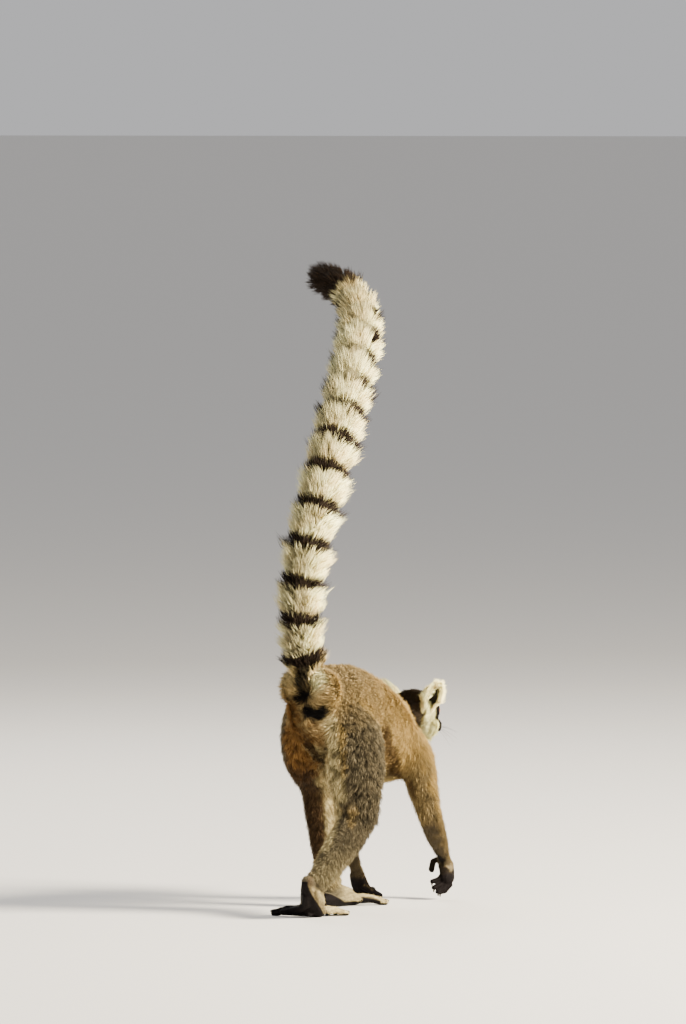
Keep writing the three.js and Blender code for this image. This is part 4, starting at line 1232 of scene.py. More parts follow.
class Nodes:
    """Builds a node tree with short calls."""

    def __init__(self, name):
        self.material = bpy.data.materials.new(name)
        self.material.use_nodes = True
        self.tree = self.material.node_tree
        self.shader = self.tree.nodes["Principled BSDF"]

    def add(self, kind, **settings):
        node = self.tree.nodes.new(kind)
        for name, value in settings.items():
            if hasattr(node, name):
                setattr(node, name, value)
            else:
                node.inputs[name.replace("_", " ")].default_value = value
        return node

    def link(self, source, target):
        self.tree.links.new(source, target)

    def set(self, **values):
        for name, value in values.items():
            self.shader.inputs[name.replace("_", " ")].default_value = value

    def noise(self, scale, detail=3.0):
        place = self.add("ShaderNodeTexCoord")
        noise = self.add("ShaderNodeTexNoise", Scale=scale, Detail=detail, Roughness=0.6)
        self.link(place.outputs["Object"], noise.inputs["Vector"])
        return noise.outputs["Fac"]

    def ranged(self, value, low, high):
        ranged = self.add("ShaderNodeMapRange", From_Min=0.3, From_Max=0.7, To_Min=low, To_Max=high)
        self.link(value, ranged.inputs["Value"])
        return ranged.outputs["Result"]

    def painted(self, strength):
        """The painted colour, scaled by a strength that varies."""
        shade = self.add("ShaderNodeAttribute", attribute_name="Coat Colour")
        mix = self.add("ShaderNodeVectorMath", operation="SCALE")
        self.link(shade.outputs["Color"], mix.inputs[0])
        self.link(strength, mix.inputs["Scale"])
        self.link(mix.outputs["Vector"], self.shader.inputs["Base Color"])

    def bump(self, height, strength, distance):
        bump = self.add("ShaderNodeBump", Strength=strength, Distance=distance)
        self.link(height, bump.inputs["Height"])
        self.link(bump.outputs["Normal"], self.shader.inputs["Normal"])


def once(make):
    """A material that is made the first time it is asked for."""

    def material():
        if make.__name__ not in bpy.data.materials:
            made = make()
            made.name = make.__name__
        return bpy.data.materials[make.__name__]

    return material


@once
def coat_material():
    nodes = Nodes("hair")
    nodes.painted(nodes.ranged(nodes.noise(900.0), 0.84, 1.16))
    nodes.set(Roughness=0.65, Specular_IOR_Level=0.06)
    return nodes.material


@once
def underfur_material():
    nodes = Nodes("underfur")
    noise = nodes.noise(1100.0)
    nodes.painted(nodes.ranged(noise, 0.6, 0.95))
    nodes.bump(noise, 0.6, 0.0006)
    nodes.set(Roughness=0.9, Specular_IOR_Level=0.08)
    return nodes.material


@once
def bare_skin_material():
    """The leather of soles, palms, nose, lids and the inside of the ears."""
    nodes = Nodes("bare skin")
    place = nodes.add("ShaderNodeTexCoord")
    cells = nodes.add("ShaderNodeTexVoronoi", Scale=1500.0)
    nodes.link(place.outputs["Object"], cells.inputs["Vector"])
    nodes.painted(nodes.ranged(nodes.noise(260.0, 5.0), 0.75, 1.5))
    nodes.bump(cells.outputs["Distance"], 0.5, 0.0003)
    nodes.link(nodes.ranged(nodes.noise(420.0), 0.5, 0.75), nodes.shader.inputs["Roughness"])
    nodes.set(Specular_IOR_Level=0.03)
    return nodes.material


@once
def eye_material():
    nodes = Nodes("eye")
    nodes.painted(nodes.ranged(nodes.noise(700.0, 4.0), 0.85, 1.2))
    nodes.set(Roughness=0.06, Specular_IOR_Level=0.5, Coat_Weight=0.3, Coat_Roughness=0.03)
    return nodes.material


@once
def horn_material():
    """Nails and whiskers."""
    nodes = Nodes("horn")
    nodes.painted(nodes.ranged(nodes.noise(600.0), 0.8, 1.25))
    nodes.set(Roughness=0.38)
    return nodes.material


# ---- The body, in the order that it is made ----


def the_skin():
    """The skin that the first operator made."""
    if "skin" not in MADE:
        raise RuntimeError("The skin comes first: run Make Skin")
    return MADE["skin"]


def on_families(skin, *names):
    """Skin vertices that lie on these families of nodes."""
    kinds = [family(node) in names for node in CHARTED]
    return np.array(kinds)[skin.fields["labels"]]


def build_skin():
    skin = MADE["skin"] = make_skin()
    surface = skin.points, skin.triangles, skin.fields["colours"]
    piece = add_piece("skin", *surface, underfur_material(), "grey_coat", *SKIN_NODES, *TAIL_BANDS)
    CHARTS.unwrap(piece, skin)
    piece.data.materials.append(bare_skin_material())
    bare = np.maximum(*bareness(skin))[skin.triangles].mean(axis=1) > 0.5
    piece.data.polygons.foreach_set("material_index", bare.astype(np.int32))


BODY_COAT = [  # name, slot, families of nodes, side or 0 for both, and how far tips lean towards their clump
    ("coat_rump", "grey_coat", ["rump"], 0, 0.16),
    ("coat_flanks", "grey_coat", ["abdomen"], 0, 0.16),
    ("coat_shoulders", "tan_coat", ["chest", "neck"], 0, 0.16),
    ("coat_thigh_left", "grey_coat", ["thigh"], 1, 0.4),
    ("coat_thigh_right", "grey_coat", ["thigh"], -1, 0.4),
    ("coat_shanks", "grey_coat", ["shank"], 0, 0.25),
    ("coat_upper_arms", "tan_coat", ["upper_arm"], 0, 0.16),
]
SHORT_COAT = [  # name, slot and family of nodes
    ("coat_forearms", "grey_coat", "forearm"),
    ("coat_feet", "pale_coat", "foot"),
    ("coat_hands", "grey_coat", "hand"),
]
SEEDS = {"body": 100, "short": 200, "head": 300, "tail": 400, "ear": 500}
LEANS = {"short": 0.25, "head": 0.3, "tail": 0.4, "ear": 0.35}  # how far tips lean towards their clump
BARE = 0.4  # bareness from which no hair grows
EYE_CLEAR, NOSE_CLEAR = 9.0 * MM, 5.6 * MM  # radius that the coat leaves bare
MOUTH_CLEAR = 0.9  # the same, in millimetres


def colours_by_mark(tips, fields):
    """Colours each hair of the body by the mark that its outer part is in."""
    outer = tips - fields["lie"] * (fields["length"] * 0.2 * MM)[:, None]
    return with_marks(fields["plain"].copy(), outer)


def build_body_coat():
    skin = the_skin()
    for seed, (name, slot, families, hand, lean) in enumerate(BODY_COAT, SEEDS["body"]):
        chosen = on_families(skin, *families) & (skin.points[:, 0] * hand >= 0)
        grow(name, slot, skin, chosen, seed, lean, by_tip=colours_by_mark)


def not_bare(roots):
    return roots.fields["bare"] < BARE


def build_short_coat():
    skin = the_skin()
    skin.fields["bare"] = np.maximum(*bareness(skin))
    for seed, (name, slot, part) in enumerate(SHORT_COAT, SEEDS["short"]):
        chosen = on_families(skin, part)
        grow(name, slot, skin, chosen, seed, LEANS["short"], not_bare, colours_by_mark)


def clear_of_face(roots):
    """Leaves the eyes, lids, mouth and nose bare."""
    gaps = [lengths(roots.points - box_middle(f"eye_{side}")) for side in SIDES]
    nose = lengths(roots.points - HEAD.place(*NOSE_PLACE))
    return (np.minimum(*gaps) > EYE_CLEAR) & (roots.fields["mouth"] > MOUTH_CLEAR) & (nose > NOSE_CLEAR)


def build_head_coat():
    skin = the_skin()
    chosen = on_families(skin, "head")
    grow("coat_head", "pale_coat", skin, chosen, SEEDS["head"], LEANS["head"], clear_of_face)


def colours_by_ring(tips, fields):
    """Colours each hair of the tail by the ring that its tip is in."""
    along, _ = TAIL.nearest(tips)
    share = smoothstep(share_of(fields, "tail"), 0.3, 0.7)
    return blend(fields["colours"], tail_colours(tips, along), share)


def build_tail_coat():
    skin = the_skin()
    on_tail = on_families(skin, "tail")
    half = skin.fields["along"] < np.median(skin.fields["along"][on_tail])
    for seed, (end, part) in enumerate((("lower", half), ("upper", ~half)), SEEDS["tail"]):
        chosen = on_tail & part
        grow(f"coat_tail_{end}", "pale_coat", skin, chosen, seed, LEANS["tail"], by_tip=colours_by_ring)


# ---- Ears: thin curled leaves that open outwards, dark within and fringed with pale hair ----

EAR_ROOT = (-9, 24.5, 12)  # forward, to the side and up from the middle of the skull, in millimetres
EAR_AXES = {"left": (-0.2, 0.5, 0.8), "right": (-0.12, -0.5, 0.84)}
EAR_OPENINGS = {"left": (-0.42, 0.87, -0.2), "right": (-0.42, -0.85, -0.2)}
EAR_SIZE = (33, 13.0, 9.5)  # height, half width and depth, in millimetres
EAR_CURL = 136  # degrees to each side that the leaf wraps round
EAR_WALL, EAR_SWAY = 1.3, 1.5  # its thickness, and how far it bows back, in millimetres
EAR_LEVELS = [-0.3, 0, 0.25, 0.5, 0.72, 0.9, 0.98, 1.0]  # shares of its height, with the leaf's size there
EAR_WIDTHS = [0.5, 0.64, 0.96, 0.97, 0.76, 0.42, 0.24, 0.05]
EAR_DEPTHS = [0.7, 0.82, 1, 0.92, 0.72, 0.42, 0.24, 0.05]
EAR_REGION = Region(0, 6.5, 0.66, 0, 230, 30, 14, 4, 0.1, 0.3, 0.8, 0, 0)


def ear_leaf(side):
    """Points, triangles, the lie of its hair, and how near to the rim and to the inside each point is."""
    axis = unit(HEAD.way(*EAR_AXES[side]))
    face = flatten_onto(HEAD.way(*EAR_OPENINGS[side]), axis)
    across = np.cross(axis, face)
    root = HEAD.place(*mirrored(EAR_ROOT, SIDES[side]))
    heights = np.concatenate([np.linspace(-0.3, 0.9, 26), [0.94, 0.97, 0.99, 1.0]])
    widths, depths = (np.interp(heights, EAR_LEVELS, shares) for shares in (EAR_WIDTHS, EAR_DEPTHS))
    angles = np.radians(np.linspace(EAR_CURL, -EAR_CURL, 33))
    height, wide, deep = EAR_SIZE

    def sheet(inward):
        out = np.maximum(wide * widths - inward, 0.1)[:, None, None] * np.sin(angles)[None, :, None] * across
        back = np.maximum(deep * depths - inward, 0.1)[:, None, None] * np.cos(angles)[None, :, None] * face
        sway = EAR_SWAY * np.sin(heights * math.pi)[:, None, None] * face
        return root + (heights[:, None, None] * height * axis + out - back - sway) * MM

    outer, inner = sheet(0), sheet(EAR_WALL)[:, ::-1]
    rows = np.concatenate([outer, inner], axis=1)
    points, triangles = grid_surface(rows)
    count, sides = rows.shape[:2]
    within = np.tile(np.repeat([0.0, 1.0], sides // 2), count)
    turn = np.tile(np.concatenate([np.abs(angles), np.abs(angles[::-1])]) / angles[0], count)
    level = np.repeat(heights, sides)
    rim = np.maximum(smoothstep(turn, 0.42, 0.72), smoothstep(level, 0.72, 0.86))
    rim *= smoothstep(level, 0.05, 0.25)
    outwards = np.sign(np.tile(np.concatenate([angles, angles[::-1]]), count))[:, None] * across
    within *= (1 - smoothstep(turn, 0.62, 0.9)) * (1 - smoothstep(level, 0.8, 0.92))
    lie = axis + outwards * (0.9 * turn)[:, None] + face * (0.5 * rim)[:, None]
    rim, within = (np.append(values, [0.0, 0.0]) for values in (rim, within))
    return points, triangles, np.concatenate([lie, [axis, axis]]), rim, within


def build_ears():
    for side in SIDES:
        points, triangles, lie, rim, within = ear_leaf(side)
        leaf = Skin(points, triangles)
        leaf.find_normals()
        count = len(points)
        mottle = waves(points, 8 * MM, 31)
        outside = blend("white", "cream", clamp(0.35 + 0.35 * mottle))
        shades = blend(outside, "ear_lining", within)
        for name, value in EAR_REGION._asdict().items():
            leaf.fields[name] = np.full(count, float(value))
        leaf.fields.update(
            lie=flatten_onto(lie, leaf.fields["normals"]),
            labels=np.full(count, CHARTED.index(f"ear_{side}")),
            colours=shades,
            rim=rim,
        )
        leaf.fields["length"] += 3.5 * rim - 5.5 * within
        leaf.fields["lift"] += 12 * rim - 10 * within
        leaf.fields["fine"] *= (1 - 0.8 * within) * (1 + 0.4 * rim)
        node, leather = f"ear_{side}", bare_skin_material()
        piece = add_piece(f"ear_leaf_{side}", points, triangles, shades, leather, "pale_coat", node)
        CHARTS.unwrap(piece, leaf)
        everywhere, seed = np.ones(count, bool), SEEDS["ear"] + SIDES[side]
        grow(f"coat_ear_{side}", "pale_coat", leaf, everywhere, seed, LEANS["ear"])


# ---- Eyes and lids ----

EYE_LOOK = (0.8, 0.56, 0.12)  # forward, outwards and up
PUPIL, IRIS = 0.27, 0.82  # half angles, in radians
CORNEA_HEIGHT, CORNEA_ANGLE = 0.5 * MM, 0.5
OPENING = (0.86, 0.70)  # half angles of the gap between the lids, across and up
# Round a section of the lids: angle from the gap, and height over the eyeball in millimetres.
LID_OUTLINE = [(0, 0.2), (-0.02, 0.5), (0.03, 0.8), (0.14, 0.95)]
LID_OUTLINE += [(0.34, 0.7), (0.8, 0.1), (0.9, -1.5), (0.3, 0.1)]


def eye_axes(side):
    """The way an eye looks, the way across it, and the third way."""
    look = unit(HEAD.way(*mirrored(EYE_LOOK, SIDES[side])))
    across = flatten_onto(HEAD.left * SIDES[side], look)
    return look, across, np.cross(look, across)


def eyeball(centre, radius, look, across, third):
    """Points, triangles and colours of an eye with a raised cornea, an amber iris and a dark pupil."""
    polar = np.concatenate([np.linspace(0.03, 1.05, 30), np.linspace(1.2, 3.0, 8)])[:, None]
    angles = angles_round(48)[None]
    reach = radius + CORNEA_HEIGHT * np.exp(-((polar / CORNEA_ANGLE) ** 2)) + 0 * angles
    ring = np.cos(angles)[..., None] * across + np.sin(angles)[..., None] * third
    rows = centre + ring * (reach * np.sin(polar))[..., None] + look * (reach * np.cos(polar))[..., None]
    points, triangles = grid_surface(rows)
    rays = 0.5 + 0.25 * np.sin(angles * 23) + 0.25 * np.sin(angles * 37 + 1.3) + 0 * polar
    depth = smoothstep(polar + 0 * angles, PUPIL, IRIS)
    outer_iris = colour("iris") * np.array([0.55, 0.42, 0.5])
    iris = blend("iris", outer_iris, clamp(depth * 0.8 + 0.3 * rays))
    pupil, edge = smoothstep(PUPIL + 0.03 - polar, 0, 0.05), smoothstep(polar, IRIS - 0.1, IRIS)
    dark = np.maximum(pupil, edge) + 0 * angles
    shades = blend(iris, colour("black") * 0.5, dark).reshape(-1, 3)
    ends = np.stack([colour("black") * 0.5] * 2)
    return points, triangles, np.concatenate([shades, ends])


def eyelids(centre, radius, look, across, third):
    """Points and triangles of a closed ring over the eyeball, round an almond-shaped gap."""
    angles = angles_round(64)
    wide, tall = OPENING
    gap = wide * tall / np.hypot(tall * np.cos(angles), wide * np.sin(angles))
    gap *= 1 + 0.07 * np.cos(2 * angles)
    rows = []
    for angle, start in zip(angles, gap):
        ring = across * math.cos(angle) + third * math.sin(angle)
        row = []
        for beyond, proud in LID_OUTLINE:
            polar = start + beyond
            way = ring * math.sin(polar) + look * math.cos(polar)
            row.append(centre + way * (radius + (proud + 0.2) * MM))
        rows.append(row)
    rows = np.array(rows)
    count, sides = rows.shape[:2]
    i, k = np.meshgrid(np.arange(count), np.arange(sides), indexing="ij")
    a, b = (i * sides + k).ravel(), (i * sides + (k + 1) % sides).ravel()
    c, d = ((i + 1) % count * sides + k).ravel(), ((i + 1) % count * sides + (k + 1) % sides).ravel()
    return rows.reshape(-1, 3), np.concatenate([np.stack([a, c, b], axis=1), np.stack([b, c, d], axis=1)])


def outward(points, triangles):
    """The triangles of a closed surface, turned so that they face out."""
    a, b, c = ((points - points.mean(axis=0))[triangles[:, k]] for k in range(3))
    volume = np.sum(a * np.cross(b, c))
    return triangles if volume > 0 else triangles[:, ::-1]


def build_eyes():
    for side in SIDES:
        low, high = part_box(f"eye_{side}")
        radius = (high - low).length / (2 * math.sqrt(3))
        centre = box_middle(f"eye_{side}")
        axes = eye_axes(side)
        points, triangles, shades = eyeball(centre, radius, *axes)
        triangles = outward(points, triangles)
        add_piece(f"eyeball_{side}", points, triangles, shades, eye_material(), "eye", f"eye_{side}")
        points, triangles = eyelids(centre, radius, *axes)
        triangles = outward(points, triangles)
        add_piece(f"lids_{side}", points, triangles, colour("bare_skin"), bare_skin_material(), "dark_skin")


# ---- Nose, whiskers and nails ----

NOSE_RADII = (4.6, 4.5, 5.6)  # to the side, up and forward, in millimetres
NOSTRIL, NOSTRIL_SHAPE, NOSTRIL_DEPTH = (58.0, 2.9, -7.6), (1, 1.25, 0.85), 2.6
NOSE_WING = (57.6, 4.6, -6.6)  # the bulge round each nostril


def build_nose():
    centre = HEAD.place(*NOSE_PLACE)
    points, triangles = ball(centre, np.array(NOSE_RADII) * MM, -HEAD.forward, HEAD.left, 72)
    triangles = outward(points, triangles)
    away = unit(points - centre)
    forward, left, up = HEAD.local(points)
    places = np.stack([forward, left, up], axis=1)
    push = 0.12 * waves(points, 1.6 * MM, 41)
    for hand in SIDES.values():
        gap = lengths((places - mirrored(NOSTRIL, hand)) / NOSTRIL_SHAPE)
        push -= NOSTRIL_DEPTH * np.exp(-((gap / 1.5) ** 2))
        wing = lengths(places - mirrored(NOSE_WING, hand))
        push += 0.45 * np.exp(-((wing / 1.4) ** 2))
    groove = np.exp(-((left / 0.45) ** 2)) * smoothstep(-7.0 - up, 0, 1.2) * smoothstep(forward, 54, 57)
    push -= 0.7 * groove
    points = points + away * (push * MM)[:, None]
    # painted shade: the leather darkens where it is pushed in, in the nostrils and the groove
    shades = colour("bare_skin") * (1 - 0.6 * smoothstep(-push, 0.6, 2))[:, None]
    add_piece("nose_leather", points, triangles, shades, bare_skin_material(), "dark_skin", "nose")


WHISKER_RADII = 0.17, 0.045  # at the root and the tip, in millimetres
WHISKER_SAG, WHISKER_SWEEP = 0.16, 0.08  # how far the tip hangs down and back, against the length
WHISKERS = [  # root in the head's millimetres, way, and length in millimetres
    ((47, 7.4, -12.5), (0.10, 0.95, -0.28), 30),
    ((45, 8.4, -10.5), (-0.10, 0.99, -0.05), 33),
    ((43, 9.0, -13.0), (-0.20, 0.93, -0.35), 36),
    ((41, 10.0, -10.0), (-0.35, 0.93, 0.02), 34),
    ((44, 7.4, -14.6), (0.05, 0.80, -0.60), 27),
    ((49, 6.0, -10.6), (0.30, 0.94, -0.10), 24),
    ((38, 10.8, -12.4), (-0.45, 0.86, -0.25), 32),
    ((26, 12.0, 16.5), (0.35, 0.40, 0.85), 22),
    ((24, 14.5, 17.0), (0.20, 0.52, 0.83), 24),
    ((27, 16.5, 16.0), (0.38, 0.66, 0.65), 20),
]


def build_whiskers():
    hairs = []
    for root, way, length in WHISKERS:
        for hand in SIDES.values():
            start = HEAD.place(*mirrored(root, hand))
            out = unit(HEAD.way(*mirrored(way, hand)))
            t = np.linspace(-0.08, 1, 10)[:, None]
            sag = HEAD.up * WHISKER_SAG * t**2 + HEAD.forward * WHISKER_SWEEP * t**2
            line = start + (out * t - sag) * length * MM
            hairs.append(tube(line, np.linspace(*WHISKER_RADII, 10) * MM, 5))
    points, triangles = joined(hairs)
    add_piece("whiskers", points, triangles, colour("black"), horn_material(), "dark_skin")


NAIL_LENGTH, NAIL_DOME, NAIL_INSIDE = 1.25, 0.3, 0.86  # shares of its width
NAIL_CURVE = 80  # degrees to each side
NAIL_WALL = 0.55  # thickness in millimetres
# Along the nail, its width there, and its height in millimetres; the first two are shares of its size.
NAIL_SECTIONS = [(-0.5, 0.7, -0.5), (0, 0.95, 0.0), (0.4, 1, 0.1), (0.8, 0.8, -0.25), (1.05, 0.35, -0.9)]
NAILS = [  # tip of each toe or finger, the joint behind it, and the nail's width, in millimetres
    ((170, 1, 5.5), (160, 5, 7), 3.6),
    ((177, 11, 5.5), (166, 12, 7), 3.6),
    ((175, 21, 5.5), (164, 21, 7), 3.6),
    ((165, 30, 5.5), (156, 27, 7), 3.4),
    ((150, -22, 6.5), (142, -15, 9), 4.4),
    ((-8, -11, 5.5), (-18, -9, 7), 3.6),
    ((-1, -19, 5.5), (-12, -16, 7), 3.6),
    ((0, -28, 5.5), (-11, -24, 7), 3.6),
    ((-6, -36, 5.5), (-15, -31, 7), 3.4),
    ((-40, 48, 7.0), (-42, 38, 10), 4.4),
    ((262, 38, 3.6), (256, 40, 5), 2.8),
    ((267, 47, 3.6), (260, 47, 5), 2.8),
    ((264, 56, 3.6), (257, 54, 5), 2.8),
    ((255, 64, 3.6), (250, 60, 5), 2.6),
    ((244, 24, 4.2), (240, 28, 7), 3.0),
    ((238, -50, 21.5), (242, -50, 27), 2.6),
    ((236, -53.5, 13.5), (240, -54, 19), 2.6),
    ((240, -57.5, 8.5), (242, -58, 14), 2.6),
    ((246.5, -57.5, 6.8), (248, -58, 12), 2.4),
]


def build_nails():
    """Small domed nails on the toes and fingers, with their free edge a little past the tip."""
    solids = []
    for tip, joint, width in NAILS:
        tip, joint = placed(*tip), placed(*joint)
        way = unit(tip - joint)
        across = unit(np.cross(way, UP))
        rise = np.cross(across, way)
        rows = []
        for share, wide, lift in NAIL_SECTIONS:
            turn = np.radians(np.linspace(-NAIL_CURVE, NAIL_CURVE, 7))
            heights = np.cos(turn) * width * NAIL_DOME + lift
            outer = np.stack([np.sin(turn) * wide * width / 2, heights], axis=1)
            rim = np.concatenate([outer, outer[::-1] * (NAIL_INSIDE, 1) - (0, NAIL_WALL)])
            centre = tip + way * (share * width * NAIL_LENGTH * MM)
            rows.append(centre + (rim[:, :1] * across + rim[:, 1:] * rise) * MM)
        points, triangles = grid_surface(rows)
        points[:, 2] = np.maximum(points[:, 2], FLOOR_GAP)
        solids.append((points, outward(points, triangles)))
    points, triangles = joined(solids)
    shades = blend("charcoal", "black", 0.5)
    add_piece("nails", points, triangles, shades, horn_material(), "dark_skin")


# ---- Stage ----

PICTURE_HEIGHT = 1024  # pixels
SENSOR = 36.0  # millimetres
FOCAL_PIXELS = 8871
CAMERA_TURN = math.radians(23)  # off the line that the animal walks along
CAMERA_DISTANCE = 11.0
CAMERA_HEIGHT = 1.0
CAMERA_SIDE = 0.026
CAMERA_PITCH = math.radians(2.598)
FLOOR_HALF = 300.0


LAMPS = [  # name; place to the camera's right, along its look and up; size, watts and tint
    ("key", (3.7, -1.3, 2.3), 1.3, 1330, (1.0, 0.90, 0.72)),
    ("fill", (-2.8, -2.6, 1.4), 2.4, 34, (0.90, 0.94, 1.0)),
    ("rim", (-0.8, 2.6, 2.6), 1.6, 88, (1.0, 0.96, 0.90)),
]
LAMP_AIM = Vector((0, 0, 0.35))
SKY_COLOUR, SKY_STRENGTH = (0.86, 0.86, 0.88, 1), 0.64


def add_camera(look, right):
    """A long lens behind the animal and to its right."""
    hips = np.array([0, HIP_FORWARD * MM, 0])
    camera = bpy.data.objects.new("camera", bpy.data.cameras.new("camera"))
    camera.data.sensor_width = SENSOR
    camera.data.lens = FOCAL_PIXELS * SENSOR / PICTURE_HEIGHT
    camera.data.clip_end = 1000
    camera.location = hips - look * CAMERA_DISTANCE + right * CAMERA_SIDE + UP * CAMERA_HEIGHT
    camera.rotation_euler = (math.pi / 2 - CAMERA_PITCH, 0, math.pi + CAMERA_TURN)
    bpy.context.scene.collection.objects.link(camera)
    bpy.context.scene.camera = camera


def add_floor():
    corners = np.array([(-1, -1, 0), (1, -1, 0), (1, 1, 0), (-1, 1, 0)]) * FLOOR_HALF
    floor = make_mesh("floor", corners, np.array([(0, 1, 2), (0, 2, 3)]))
    nodes = Nodes("studio floor")
    nodes.link(nodes.ranged(nodes.noise(3.0), 0.86, 0.94), nodes.shader.inputs["Roughness"])
    nodes.set(Base_Color=(*colour("floor"), 1))
    floor.data.materials.append(nodes.material)


def add_sky():
    world = bpy.data.worlds.new("studio")
    world.use_nodes = True
    background = world.node_tree.nodes["Background"]
    background.inputs["Color"].default_value = SKY_COLOUR
    background.inputs["Strength"].default_value = SKY_STRENGTH
    bpy.context.scene.world = world


def add_lamp(name, place, size, power, tint):
    lamp = bpy.data.objects.new(name, bpy.data.lights.new(name, "AREA"))
    lamp.data.size = size
    lamp.data.energy = power
    lamp.data.color = tint
    lamp.location = place
    lamp.rotation_euler = (LAMP_AIM - Vector(place)).to_track_quat("-Z", "Y").to_euler()
    bpy.context.scene.collection.objects.link(lamp)


def build_stage():
    look = np.array([math.sin(CAMERA_TURN), -math.cos(CAMERA_TURN), 0])
    right = np.cross(look, UP)
    add_camera(look, right)
    add_floor()
    add_sky()
    for name, (aside, ahead, height), size, power, tint in LAMPS:
        add_lamp(name, right * aside + look * ahead + UP * height, size, power, tint)


# ---- Settings, operators and panel ----


def colour_setting(name, description, shade):
    """A linear colour that a user may change."""
    return bpy.props.FloatVectorProperty(
        name=name, description=description, default=shade, size=3, min=0.0, max=1.0, subtype="COLOR"
    )


class LemurCoat(bpy.types.PropertyGroup):
    """Sizes and colours of the skin and the coat."""

    fineness: bpy.props.FloatProperty(
        name="Skin Fineness",
        description="Size of the faces of the skin; half of it on the head, hands and feet",
        default=2.55 * MM,
        min=1.0 * MM,
        subtype="DISTANCE",
        unit="LENGTH",
    )
    fullness: bpy.props.FloatProperty(
        name="Fullness",
        description="Number of tufts against the densities of the regions",
        default=0.96,
        min=0.05,
        max=1.3,
    )
    olive_grey: colour_setting("Olive Grey", "Outside of the thighs and shanks", (0.098, 0.082, 0.051))
    grey: colour_setting("Grey", "Back", (0.210, 0.165, 0.094))
    tan: colour_setting("Tan", "Flanks", (0.364, 0.253, 0.101))
    gold: colour_setting("Gold", "Upper arms and the rump under the tail", (0.461, 0.299, 0.081))
    orange_tan: colour_setting("Orange Tan", "Inside of the thighs", (0.252, 0.126, 0.036))
    # Umber also stands for painted shade in some of the marks.
    umber: colour_setting("Umber", "Dark brown patches", (0.059, 0.031, 0.013))
    cream: colour_setting("Cream", "Belly, feet and pale stripes", (0.720, 0.592, 0.294))
    white: colour_setting("White", "Face, ears and pale rings of the tail", (0.980, 0.920, 0.490))
    charcoal: colour_setting("Charcoal", "Crown, muzzle and hands", (0.028, 0.020, 0.013))
    black: colour_setting("Black", "Dark rings of the tail", (0.007, 0.006, 0.005))
    bare_skin: colour_setting("Bare Skin", "Soles, palms, lids and nose", (0.004, 0.003, 0.003))
    ear_lining: colour_setting("Ear Lining", "Inside of the ears", (0.026, 0.022, 0.016))
    iris: colour_setting("Iris", "Eyes", (0.460, 0.135, 0.004))
    floor: colour_setting("Floor", "Floor of the studio", (0.70, 0.68, 0.65))


class LemurSkinOperator(bpy.types.Operator):
    """Make the skin that lies under the whole coat."""

    bl_idname = "lemur.make_skin"
    bl_label = "Make Skin"

    def execute(self, context):
        build_skin()
        return {"FINISHED"}


class LemurBodyCoatOperator(bpy.types.Operator):
    """Grow the long coat of the trunk, thighs, shanks and upper arms."""

    bl_idname = "lemur.grow_body_coat"
    bl_label = "Grow Body Coat"

    def execute(self, context):
        build_body_coat()
        return {"FINISHED"}


class LemurShortCoatOperator(bpy.types.Operator):
    """Grow the short coat of the forearms, feet and hands."""

    bl_idname = "lemur.grow_short_coat"
    bl_label = "Grow Short Coat"

    def execute(self, context):
        build_short_coat()
        return {"FINISHED"}


class LemurHeadCoatOperator(bpy.types.Operator):
    """Grow the coat of the head."""

    bl_idname = "lemur.grow_head_coat"
    bl_label = "Grow Head Coat"

    def execute(self, context):
        build_head_coat()
        return {"FINISHED"}


class LemurTailCoatOperator(bpy.types.Operator):
    """Grow the banded coat of the tail."""

    bl_idname = "lemur.grow_tail_coat"
    bl_label = "Grow Tail Coat"

    def execute(self, context):
        build_tail_coat()
        return {"FINISHED"}


class LemurEarsOperator(bpy.types.Operator):
    """Make the ears and their fringes."""

    bl_idname = "lemur.make_ears"
    bl_label = "Make Ears"

    def execute(self, context):
        build_ears()
        return {"FINISHED"}


class LemurEyesOperator(bpy.types.Operator):
    """Make the eyes and their lids."""

    bl_idname = "lemur.make_eyes"
    bl_label = "Make Eyes"

    def execute(self, context):
        build_eyes()
        return {"FINISHED"}


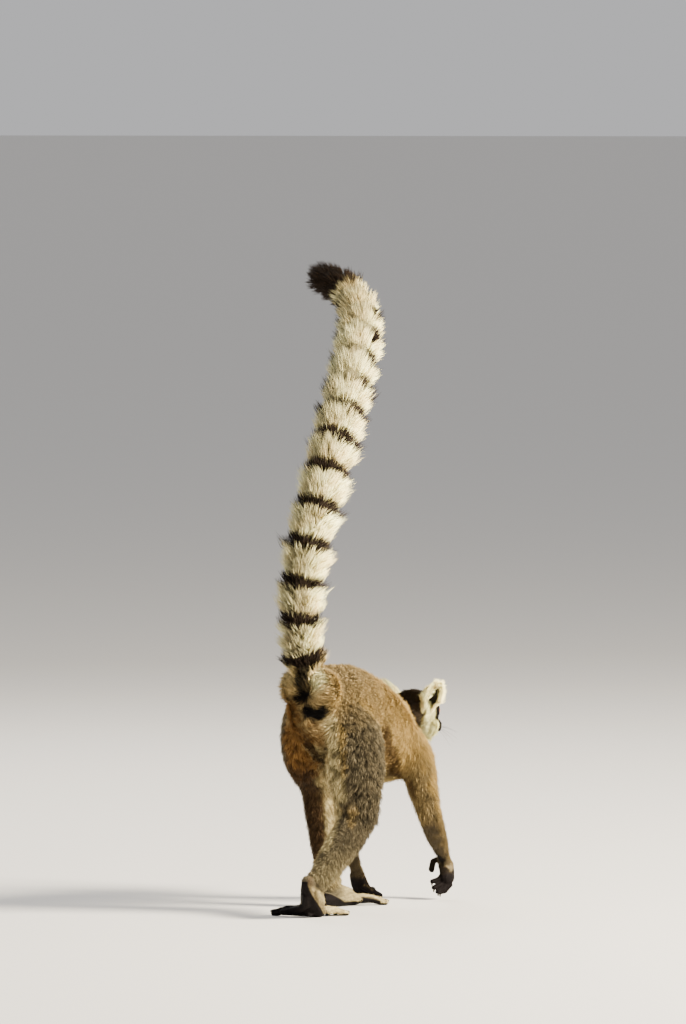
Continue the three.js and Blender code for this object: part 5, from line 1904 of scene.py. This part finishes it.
class LemurNoseOperator(bpy.types.Operator):
    """Make the leather of the nose."""

    bl_idname = "lemur.make_nose"
    bl_label = "Make Nose"

    def execute(self, context):
        build_nose()
        return {"FINISHED"}


class LemurWhiskersOperator(bpy.types.Operator):
    """Make the whiskers and the long hairs over the eyes."""

    bl_idname = "lemur.make_whiskers"
    bl_label = "Make Whiskers"

    def execute(self, context):
        build_whiskers()
        return {"FINISHED"}


class LemurNailsOperator(bpy.types.Operator):
    """Make the nails of the toes and fingers."""

    bl_idname = "lemur.make_nails"
    bl_label = "Make Nails"

    def execute(self, context):
        build_nails()
        return {"FINISHED"}


class LemurStageOperator(bpy.types.Operator):
    """Set up the floor, the lamps and the camera."""

    bl_idname = "lemur.make_stage"
    bl_label = "Make Stage"

    def execute(self, context):
        build_stage()
        return {"FINISHED"}


OPERATORS = [
    LemurSkinOperator,
    LemurBodyCoatOperator,
    LemurShortCoatOperator,
    LemurHeadCoatOperator,
    LemurTailCoatOperator,
    LemurEarsOperator,
    LemurEyesOperator,
    LemurNoseOperator,
    LemurWhiskersOperator,
    LemurNailsOperator,
    LemurStageOperator,
]


class LemurPanel(bpy.types.Panel):
    """Lists the settings and the steps in order."""

    bl_idname = "VIEW3D_PT_lemur"
    bl_label = "Ring-tailed Lemur"
    bl_space_type = "VIEW_3D"
    bl_region_type = "UI"
    bl_category = "Lemur"

    def draw(self, context):
        for setting in LemurCoat.__annotations__:
            self.layout.prop(context.scene.lemur_coat, setting)
        for operator in OPERATORS:
            self.layout.operator(operator.bl_idname)


CLASSES = [LemurCoat, *OPERATORS, LemurPanel]


def register():
    for cls in CLASSES:
        bpy.utils.register_class(cls)
    bpy.types.Scene.lemur_coat = bpy.props.PointerProperty(type=LemurCoat)


def unregister():
    del bpy.types.Scene.lemur_coat
    for cls in reversed(CLASSES):
        bpy.utils.unregister_class(cls)


def main():
    register()
    for operator in OPERATORS:
        group, name = operator.bl_idname.split(".")
        getattr(getattr(bpy.ops, group), name)()


if __name__ == "__main__":
    main()
